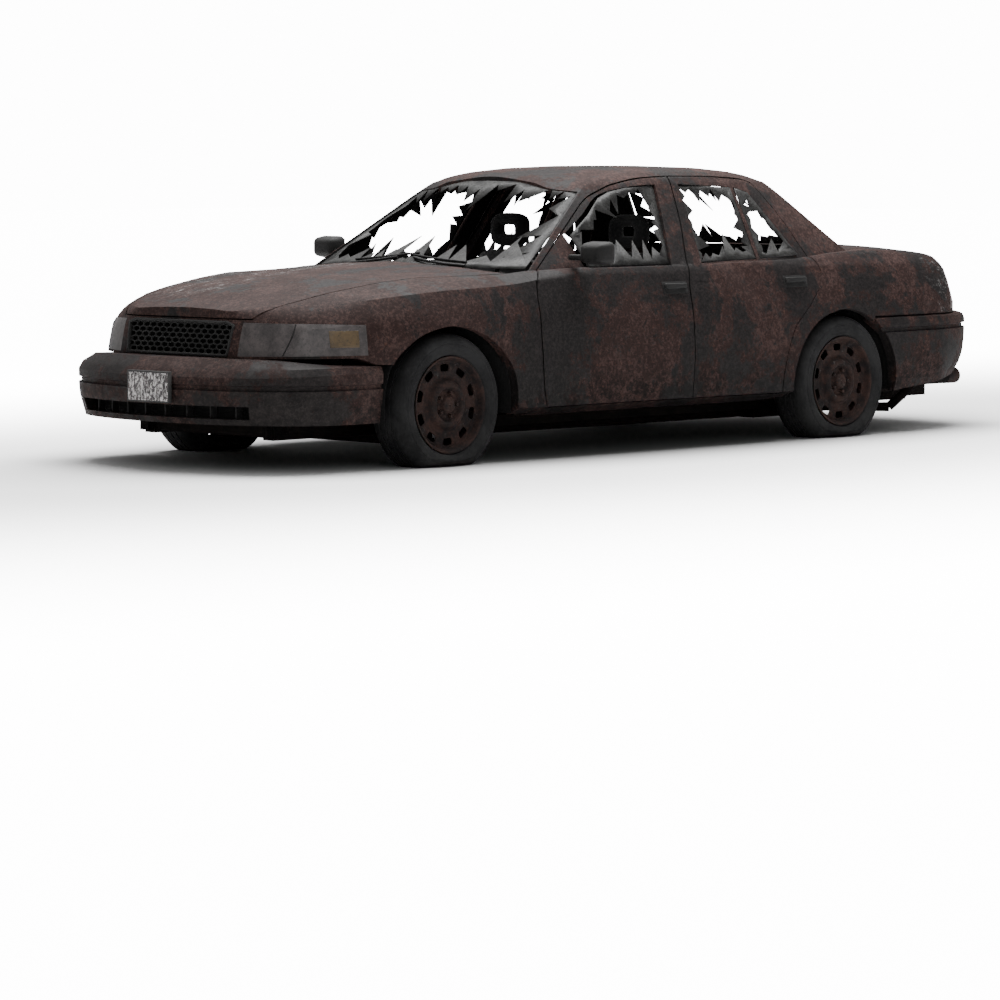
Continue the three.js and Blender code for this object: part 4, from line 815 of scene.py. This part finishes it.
def grille_mesh():
    bm = bmesh.new()
    wide, tall = CELL
    for row in range(-1, 9):
        for column in range(-9, 10):
            y = column * wide + (row % 2) * wide / 2
            z = GRILLE_FOOT + row * tall
            ring = [(0, tall * 2 / 3), (wide / 2, tall / 3), (wide / 2, -tall / 3), (0, -tall * 2 / 3),
                    (-wide / 2, -tall / 3), (-wide / 2, tall / 3)]
            bm.faces.new([bm.verts.new((0.0, y + dy, z + dz)) for dy, dz in ring])
    bmesh.ops.remove_doubles(bm, verts=bm.verts, dist=1e-5)
    bmesh.ops.inset_individual(bm, faces=bm.faces, thickness=CELL_WALL)
    bmesh.ops.delete(bm, geom=[g for g in bm.faces if len(g.verts) == 6], context="FACES")
    size = len(GRILLE_EDGE)
    for i in range(size):
        (y0, z0), (y1, z1) = GRILLE_EDGE[i], GRILLE_EDGE[(i + 1) % size]
        bmesh.ops.bisect_plane(bm, geom=bm.verts[:] + bm.edges[:] + bm.faces[:], plane_co=(0, y0, z0),
                               plane_no=(0, z1 - z0, -(y1 - y0)), clear_outer=True)
    return bm


def on_grille(bm, back):
    """Lays a flat form on the grille's face, moved back from it."""
    for v in bm.verts:
        v.co.x += grille_at(v.co.y, v.co.z) + back
    return bm


bm = on_grille(grille_mesh(), -0.012)
bmesh.ops.recalc_face_normals(bm, faces=bm.faces)
mesh_piece = piece("grille_honeycomb", bm, "root", [TRIM], "black_plastic", 30)
thicken(mesh_piece, 0.014, 0.0)
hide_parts("grille")

bm = bmesh.new()
bm.faces.new([bm.verts.new((0.0, y, z)) for y, z in GRILLE_EDGE])
bmesh.ops.subdivide_edges(bm, edges=bm.edges[:], cuts=5)
band = bmesh.ops.inset_region(bm, faces=bm.faces[:], thickness=SURROUND_BAND, use_boundary=True,
                              use_even_offset=True)
rim_faces = set(band["faces"])
bmesh.ops.delete(bm, geom=[g for g in bm.faces if g not in rim_faces], context="FACES")
on_grille(bm, -0.016)
thicken(piece("grille_surround", bm, "root", [TRIM], "black_plastic", 30), 0.024, 0.0)

# A sheet behind the honeycomb, in the black that is painted as shade inside the grille.
bm = bmesh.new()
rows = [[bm.verts.new((0.0, -0.375 + 0.75 * i / 12, 0.545 + 0.155 * k / 4)) for i in range(13)]
        for k in range(5)]
for upper, lower in zip(rows, rows[1:]):
    for i in range(12):
        bm.faces.new([upper[i], upper[i + 1], lower[i + 1], lower[i]])
on_grille(bm, 0.018)
thicken(piece("grille_back", bm, "root", [SHADE_BLACK], "black_plastic", 30), 0.003, 0.0)


# Lamps

RIB_COUNT = 15
RIB_FIRST = 0.545
RIB_PITCH = 0.0215

for side, sign in SIDES:
    head = panel("headlamp_" + side, [LENS], "lamp_lens", crease=24, waves=0)
    skin = tree_of(head)
    rows = [[(along(-2118 + 128 * i / 8), sign * 1.3, 0.590 + 0.080 * k / 5) for i in range(9)]
            for k in range(6)]
    amber = patch(f"amber_lamp_{side}", skin, rows, (0.0, -sign, 0.0), 0.0025, 0.005, "root", AMBER,
                  "lamp_lens")
    round_edges(amber, 0.002)
    look = (0.72, -sign * 0.69, 0.0)
    divider = []
    for k in range(11):
        share = k / 10
        y = 0.640 + 0.055 * math.sin(share * 1.5) + 0.03 * share
        start = Vector((along(-2300), sign * y, 0.552 + 0.148 * share)) - Vector(look) * 0.6
        hit = laid(skin, start, look, 0.0)
        if hit is not None:
            divider.append(hit)
    if len(divider) > 2:
        tube(f"headlamp_divider_{side}", divider, 0.0032, "root", SEAL, "black_plastic")
    tail = panel("tail_lamp_" + side, [TAIL], "red_lens", crease=24, waves=0)
    skin = tree_of(tail)
    for j in range(RIB_COUNT):
        y = sign * (RIB_FIRST + RIB_PITCH * j)
        look = Vector((-1.0, -sign * 0.25, 0.0)).normalized()
        line = []
        for k in range(12):
            start = Vector((2.9, y + sign * 0.09, 0.668 + 0.018 * k))
            hit = laid(skin, start, look, 0.0)
            if hit is not None and hit.x > 2.36:
                line.append(hit)
        if len(line) > 3:
            finish = RED if j % 3 else TAIL
            tube(f"tail_lamp_rib_{side}_{j}", line, 0.0045, "root", finish, "red_lens", 2)


# Door handles

# Columns: door, start and end drawn along the car, height
HANDLES = (("front", 70, 250, 0.822), ("rear", 1005, 1185, 0.832))

for side, sign in SIDES:
    for end, x0, x1, z in HANDLES:
        body = f"door_{end}_{side}"
        skin = tree_of(panels[f"{end}_door_{side}"])
        low_x, high_x = along(x0), along(x1)
        rows = [[(low_x + (high_x - low_x) * i / 8, sign * 1.2, z - 0.030 + 0.06 * k / 4) for i in range(9)]
                for k in range(5)]
        cup = patch(f"{end}_handle_cup_{side}", skin, rows, (0, -sign, 0), 0.003, 0.004, body, SEAL,
                    "black_plastic")
        round_edges(cup, 0.002)
        middle = laid(skin, ((low_x + high_x) / 2, sign * 1.2, z), (0, -sign, 0))
        y = abs(middle.y)
        bm = rounded_block((low_x + 0.008, y + 0.008, z - 0.004), (high_x - 0.012, y + 0.024, z + 0.022),
                           0.006)
        bmesh.ops.subdivide_edges(bm, edges=[e for e in bm.edges if e.calc_length() > 0.08], cuts=7,
                                  use_grid_fill=True)
        for v in bm.verts:
            share = (v.co.x - (low_x + high_x) / 2) / ((high_x - low_x) / 2)
            v.co.y -= 0.010 * share * share
        piece(f"{end}_door_flap_{side}", on_side(bm, sign), body, [TRIM], "black_plastic", 40)
        for number, x in enumerate((low_x + 0.012, high_x - 0.040)):
            foot = rounded_block((x, y - 0.006, z - 0.001), (x + 0.022, y + 0.014, z + 0.018), 0.003)
            name = f"{end}_handle_foot_{side}_{number}"
            piece(name, on_side(foot, sign), body, [SEAL], "black_plastic", 40)


# Plates

bm = rounded_block((-2.7145, -0.187, 0.325), (-2.6950, 0.117, 0.475), 0.003, 2)
bracket = piece("front_plate_bracket", bm, "root", [BRACKET], "blank_plate", 30)
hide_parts("front_plate")
bm = rounded_block((-2.7150, -0.178, 0.333), (-2.7130, 0.108, 0.467), 0.0006, 1)
piece("front_plate_face", bm, "root", [PLATE], "blank_plate", 30)
panel("rear_plate", [PLATE], "blank_plate", waves=0)
skin = tree_of(panels["boot_lid"])
rows = []
for k in range(8):
    z = 0.656 + 0.168 * k / 7
    half = 0.180 + 0.112 * k / 7
    rows.append([(3.0, -half + 2 * half * i / 14, z) for i in range(15)])
patch("plate_recess_lining", skin, rows, (-1, 0, 0), 0.002, 0.003, "boot_lid", TRIM, "black_plastic")


# Mirrors, wipers, intake slats, exhaust tips

for side, sign in SIDES:
    bm = rounded_block((along(-548), 0.884, 0.950), (along(-440), 1.0585, 1.068), 0.030, 4)
    for v in bm.verts:
        forward = (along(-440) - v.co.x) / 0.108
        v.co.z += (1.010 - v.co.z) * 0.28 * forward * forward
        v.co.y += (0.960 - v.co.y) * 0.20 * forward * forward
    arm = rounded_block((along(-525), 0.800, 0.972), (along(-470), 0.900, 1.000), 0.008, 2)
    bmesh.ops.subdivide_edges(arm, edges=[e for e in arm.edges if e.calc_length() > 0.06], cuts=3)
    for form, name, finish in ((bm, "mirror_shell_", TRIM), (arm, "mirror_arm_", SEAL)):
        made = piece(name + side, on_side(form, sign), f"door_front_{side}", [finish], "black_plastic", 40)
        if form is bm:
            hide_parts("door_mirror_" + side)
    bm = rounded_block((along(-443), 0.902, 0.966), (along(-438), 1.042, 1.052), 0.002, 2)
    piece(f"mirror_face_{side}", on_side(bm, sign), f"door_front_{side}", [MIRROR], "dirty_glass", 40)

screen = surface_fit("windscreen_glass", 0)
for side, sign in SIDES:
    arm = [(screen(y, z) - lift, sign * y, z) for y, z, lift in
           ((0.412, 0.944, 0.010), (0.30, 0.952, 0.026), (0.16, 0.966, 0.028), (0.06, 0.980, 0.018))]
    blade = [(screen(y, z) - 0.012, sign * y, z) for y, z in
             ((0.40, 0.962), (0.28, 0.970), (0.16, 0.980), (0.04, 0.992), (-0.06, 1.002))]
    made = tube(f"wiper_arm_{side}", arm, 0.0075, "root", TRIM, "black_plastic")
    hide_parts(f"wiper_{side}")
    tube(f"wiper_blade_{side}", blade, 0.0055, "root", SEAL, "black_plastic")

SLAT_COUNT = 8
BUMPER_BOW = 0.28

for number in range(SLAT_COUNT):
    y = -0.50 + number * 1.0 / (SLAT_COUNT - 1)
    bm = rounded_block((-2.640, y - 0.004, 0.250), (-2.600, y + 0.004, 0.325), 0.0015, 1)
    for v in bm.verts:
        v.co.x += BUMPER_BOW * y * y
    piece(f"intake_slat_{number}", bm, "root", [TRIM], "black_plastic", 40)
# A sheet behind the slats, in the black that is painted as shade inside the intake.
bm = bmesh.new()
across = [-0.62 + 1.24 * i / 16 for i in range(17)]
rows = [[bm.verts.new((-2.590 + BUMPER_BOW * y * y, y, z)) for y in across] for z in (0.240, 0.335)]
for i in range(16):
    bm.faces.new([rows[0][i], rows[0][i + 1], rows[1][i + 1], rows[1][i]])
thicken(piece("intake_back", bm, "root", [SHADE_BLACK], "black_plastic", 40), 0.003, 0.0)

for side, sign in SIDES:
    bm = spun([(0.0355, -0.075), (0.0355, 0.0), (0.0385, 0.0035), (0.0425, 0.0035), (0.0435, 0.0),
               (0.0430, -0.090)], 32)
    bm.transform(Matrix.Translation((2.599, sign * 0.666, 0.271)) @ Matrix.Rotation(-math.pi / 2, 4, "Z"))
    bmesh.ops.recalc_face_normals(bm, faces=bm.faces)
    piece(f"exhaust_tip_{side}", bm, "root", [STEEL], "rusty_steel", 40)


# Seats, dashboard, steering wheel

def cushion(name, outline, y0, y1, nodes, steps=10):
    """A crowned cushion: rings of the side outline, drawn in towards both ends, with two sewn channels."""
    bm = bmesh.new()
    cx = sum(p[0] for p in outline) / len(outline)
    cz = sum(p[1] for p in outline) / len(outline)
    loops = []
    for k in range(steps + 1):
        share = k / steps
        edge = min(share, 1 - share)
        size = 0.80 + 0.20 * math.sin(min(1.0, edge * 5) * math.pi / 2)
        if 0.26 < share < 0.34 or 0.66 < share < 0.74:
            size -= 0.03
        ring = [bm.verts.new((cx + (x - cx) * size, y0 + (y1 - y0) * share, cz + (z - cz) * size))
                for x, z in outline]
        loops.append([bm.edges.new((ring[i], ring[(i + 1) % len(ring)])) for i in range(len(ring))])
    for a, b in zip(loops, loops[1:]):
        bmesh.ops.bridge_loops(bm, edges=a + b)
    bmesh.ops.holes_fill(bm, edges=bm.edges[:])
    bmesh.ops.recalc_face_normals(bm, faces=bm.faces)
    made = piece(name, bm, "root", [CLOTH], "seat_fabric", 0)
    soften(made, 2)
    if nodes:
        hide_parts(*nodes)
    return made


SEAT_Y = 0.430
HEADREST_POINTS = 24
HEADREST_CORNER = 0.55
# Columns: place along, half width, middle height, half height
HEADREST_EDGE = (-0.038, 0.136, 1.092, 0.092)
HEADREST_SLOT = (-0.042, 0.048, 1.093, 0.022)


def headrest(name, x, y):
    """A padded ring with a slot through it."""
    bm = bmesh.new()
    rings = []
    for back, half_width, middle, half_height in (HEADREST_EDGE, HEADREST_SLOT):
        ring = []
        for k in range(HEADREST_POINTS):
            angle = math.tau * k / HEADREST_POINTS
            c, s = math.cos(angle), math.sin(angle)
            across = half_width * math.copysign(abs(c) ** HEADREST_CORNER, c)
            up = half_height * math.copysign(abs(s) ** HEADREST_CORNER, s)
            ring.append(bm.verts.new((x + back, y + across, middle + up)))
        rings.append([bm.edges.new((a, b)) for a, b in zip(ring, ring[1:] + ring[:1])])
    faces = bmesh.ops.bridge_loops(bm, edges=rings[0] + rings[1])["faces"]
    grown = bmesh.ops.extrude_face_region(bm, geom=faces)
    back = [v for v in grown["geom"] if isinstance(v, bmesh.types.BMVert)]
    bmesh.ops.translate(bm, vec=(0.080, 0, 0.006), verts=back)
    bmesh.ops.recalc_face_normals(bm, faces=bm.faces)
    made = piece(name, bm, "root", [CLOTH], "seat_fabric", 0)
    soften(made, 1)
    return made


for side, sign in SIDES:
    y0, y1 = (0.195, 0.660) if sign > 0 else (-0.660, -0.195)
    x = along(130)
    cushion(f"front_seat_cushion_{side}",
            [(x - 0.47, 0.246), (x - 0.495, 0.33), (x - 0.492, 0.395), (x - 0.44, 0.444), (x - 0.22, 0.436),
             (x - 0.03, 0.418), (x + 0.03, 0.38), (x + 0.05, 0.30), (x + 0.05, 0.246), (x - 0.22, 0.242)],
            y0, y1, ["front_seat_" + side])
    cushion(f"front_seat_back_{side}",
            [(x - 0.05, 0.412), (x - 0.02, 0.56), (x + 0.045, 0.76), (x + 0.125, 0.96), (x + 0.155, 0.996),
             (x + 0.195, 0.992), (x + 0.212, 0.955), (x + 0.165, 0.76), (x + 0.10, 0.52), (x + 0.075, 0.412)],
            y0 + 0.012, y1 - 0.012, [])
    headrest(f"front_headrest_{side}", x + 0.188, sign * SEAT_Y)
    for number, dy in enumerate((-0.045, 0.045)):
        y = sign * SEAT_Y + dy
        tube(f"headrest_post_{side}_{number}", [(x + 0.172, y, 0.96), (x + 0.186, y, 1.05)],
             0.006, "root", TRIM, "black_plastic")
BENCH_CUSHION = drawn([(765, 330), (745, 420), (765, 438), (930, 430), (1090, 412), (1110, 380),
                       (1110, 330), (930, 328)])
BENCH_BACK = drawn([(1085, 425), (1130, 560), (1195, 750), (1248, 885), (1290, 896), (1332, 880),
                    (1332, 650), (1332, 430), (1210, 424)])
BENCH_HALF = 0.615
cushion("rear_seat_cushion", BENCH_CUSHION, -BENCH_HALF, BENCH_HALF, ["rear_seat"], 16)
cushion("rear_seat_back", BENCH_BACK, -BENCH_HALF, BENCH_HALF, [], 16)
dash = panel("dashboard", [INNER], "black_plastic", crease=34, waves=0)
round_edges(dash, 0.008, 2, 40)

wheel_middle = Vector((along(-400), -0.380, 0.818))
tilt = Matrix.Translation(wheel_middle) @ Matrix.Rotation(-math.radians(24), 4, "Y")
ring = [tilt @ Vector((0.0, 0.185 * math.cos(math.tau * k / 48), 0.185 * math.sin(math.tau * k / 48)))
        for k in range(48)]
made = tube("steering_wheel_ring", ring, 0.0135, "steering_wheel", TRIM, "black_plastic", 4, closed=True)
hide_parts("steering_wheel")
for number, angle in enumerate((-90, 30, 150)):
    way = Vector((0.0, math.cos(math.radians(angle)), math.sin(math.radians(angle))))
    spoke = [tilt @ (way * 0.03), tilt @ (way * 0.10 + Vector((-0.004, 0, 0))), tilt @ (way * 0.180)]
    tube(f"steering_wheel_spoke_{number}", spoke, 0.010, "steering_wheel", TRIM, "black_plastic")
bm = rounded_block((-0.024, -0.062, -0.048), (0.022, 0.062, 0.048), 0.018, 4)
bm.transform(tilt)
piece("steering_wheel_pad", bm, "steering_wheel", [TRIM], "black_plastic", 50)


# Underbody: CAD pieces whose shape is right

# They get the underbody finish, whose rust colours are darkened as painted shade under the car.
for node in ("floor_pan", "bay_walls", "rear_bulkhead", "chassis_frame", "front_crossmember", "rear_axle",
             "engine_block", "exhaust", "steering_knuckle_left", "steering_knuckle_right"):
    kept = frame["nodes"][node]
    kept.data.materials.clear()
    kept.data.materials.append(UNDER_RUST_AND_SHADE)


# Rubber strips inside the door tops

STRIP_IN = 0.078
STRIP_RISE = 0.004
STRIP_R = 0.020
DOOR_TOP = drawn([(-141, 1301), (-49, 1331), (114, 1355), (305, 1364), (489, 1364), (889, 1346),
                  (1008, 1322)])
for side, sign in SIDES:
    front_skin = surface_fit(f"front_door_glass_{side}", 1)
    rear_skin = surface_fit(f"rear_door_glass_{side}", 1)
    strip = []
    for u, w in DOOR_TOP:
        skin_y = (front_skin if u < along(400) else rear_skin)(u, w)
        strip.append((u, skin_y - sign * STRIP_IN, w + STRIP_RISE))
    # The strip is in the black that is painted as shade inside the door top.
    tube(f"door_top_strip_{side}", strip, STRIP_R, "root", SHADE_BLACK, "black_plastic")


# A plate that closes the tail behind the rear bumper's top edge

CLOSING_PLATE = ((2.440, -0.780, 0.520), (2.446, 0.780, 0.690))
# The plate is in the black that is painted as shade in the gap.
piece("tail_closing_plate", rounded_block(*CLOSING_PLATE, 0.001, 1), "root", [SHADE_BLACK], "black_plastic", 40)


# Arch liners

LINER_R = 0.430
LINER_ROWS = (0.56, 0.73, 0.900)
LINER_STEPS = 24
LINER_START = -8
LINER_TURN = 196

for end, x in ENDS:
    for side, sign in SIDES:
        bm = bmesh.new()
        rows = []
        for k in range(LINER_STEPS + 1):
            angle = math.radians(LINER_START + LINER_TURN * k / LINER_STEPS)
            spot_x, spot_z = x + LINER_R * math.cos(angle), HUB_Z + LINER_R * math.sin(angle)
            rows.append([bm.verts.new((spot_x, sign * y, spot_z)) for y in LINER_ROWS])
        for a, b in zip(rows, rows[1:]):
            for i in range(2):
                bm.faces.new([a[i], a[i + 1], b[i + 1], b[i]])
        bmesh.ops.recalc_face_normals(bm, faces=bm.faces)
        # Each liner is in the black that is painted as shade inside the arch.
        thicken(piece(f"arch_liner_{end}_{side}", bm, "root", [SHADE_BLACK], "black_plastic", 60), 0.003, 0.0)


# Floor, light and camera

# What lights the car, and what the camera sees behind it
SKY_LIGHT = 0.6
SKY_SEEN = 14.0
# Distances from the middle of the car, which is drawn in lengthwise, at which the floor turns pale: the shade
# reach fades out a painted shadow that darkens the floor's colour under and around the car, and the glow
# reach fades in the floor's glow for the camera
FLOOR_STRETCH = (0.42, 1.0, 1.0)
PAINTED_SHADOW_REACH = (0.70, 1.75)
GLOW_REACH = (1.4, 6.5)

bm = bmesh.new()
bmesh.ops.create_grid(bm, x_segments=2, y_segments=2, size=60.0)
mesh = bpy.data.meshes.new("studio_floor")
bm.to_mesh(mesh)
bm.free()
floor_finish = Finish("pale_floor_painted_shadow", 0.9)
reach = floor_finish.tree.nodes.new("ShaderNodeVectorMath")
reach.operation = "LENGTH"
floor_finish.tree.links.new(floor_finish.stretched(*FLOOR_STRETCH), reach.inputs[0])
glow = floor_finish.between(reach.outputs["Value"], *GLOW_REACH)
# The floor's colour is a painted shadow: dark under and around the car, pale further out.
floor_finish.colour(floor_finish.mix(floor_finish.between(reach.outputs["Value"], *PAINTED_SHADOW_REACH),
                                     (0.10, 0.10, 0.10), (0.88, 0.88, 0.88)))
floor_finish.shader.inputs["Emission Color"].default_value = (1.0, 1.0, 1.0, 1.0)
seen = floor_finish.tree.nodes.new("ShaderNodeLightPath").outputs["Is Camera Ray"]
floor_finish.tree.links.new(floor_finish.sum(floor_finish.sum(glow, SKY_SEEN), seen),
                            floor_finish.shader.inputs["Emission Strength"])
mesh.materials.append(floor_finish.material)
floor = bpy.data.objects.new("studio_floor", mesh)
bpy.context.scene.collection.objects.link(floor)

world = bpy.data.worlds.new("studio")
world.use_nodes = True
world.node_tree.nodes["Background"].inputs["Color"].default_value = (1.0, 1.0, 1.0, 1.0)
ray = world.node_tree.nodes.new("ShaderNodeLightPath").outputs["Is Camera Ray"]
seen = world.node_tree.nodes.new("ShaderNodeMapRange")
seen.inputs["To Min"].default_value = SKY_LIGHT
seen.inputs["To Max"].default_value = SKY_SEEN
world.node_tree.links.new(ray, seen.inputs["Value"])
world.node_tree.links.new(seen.outputs["Result"], world.node_tree.nodes["Background"].inputs["Strength"])
bpy.context.scene.world = world


def lamp(name, place, aim, size, power):
    light = bpy.data.lights.new(name, "AREA")
    light.shape = "RECTANGLE"
    light.size, light.size_y = size
    light.energy = power
    made = bpy.data.objects.new(name, light)
    made.location = place
    made.rotation_euler = (Vector(aim) - Vector(place)).to_track_quat("-Z", "Y").to_euler()
    bpy.context.scene.collection.objects.link(made)


lamp("overhead_light", (0.5, 0.5, 6.5), (0.0, 0.0, 0.0), (7.0, 5.0), 2000.0)
lamp("side_light", (-7.0, -8.0, 4.5), (0.0, 0.0, 0.7), (6.0, 4.0), 160.0)

camera_data = bpy.data.cameras.new("photo_camera")
camera_data.lens = 157.36
camera_data.sensor_width = 36.0
camera_data.clip_end = 200.0
camera = bpy.data.objects.new("photo_camera", camera_data)
camera.location = (-16.3165, -15.847, 1.572)
camera.rotation_euler = (math.radians(85.28), math.radians(0.06), math.radians(-45.32))
bpy.context.scene.collection.objects.link(camera)
bpy.context.scene.camera = camera
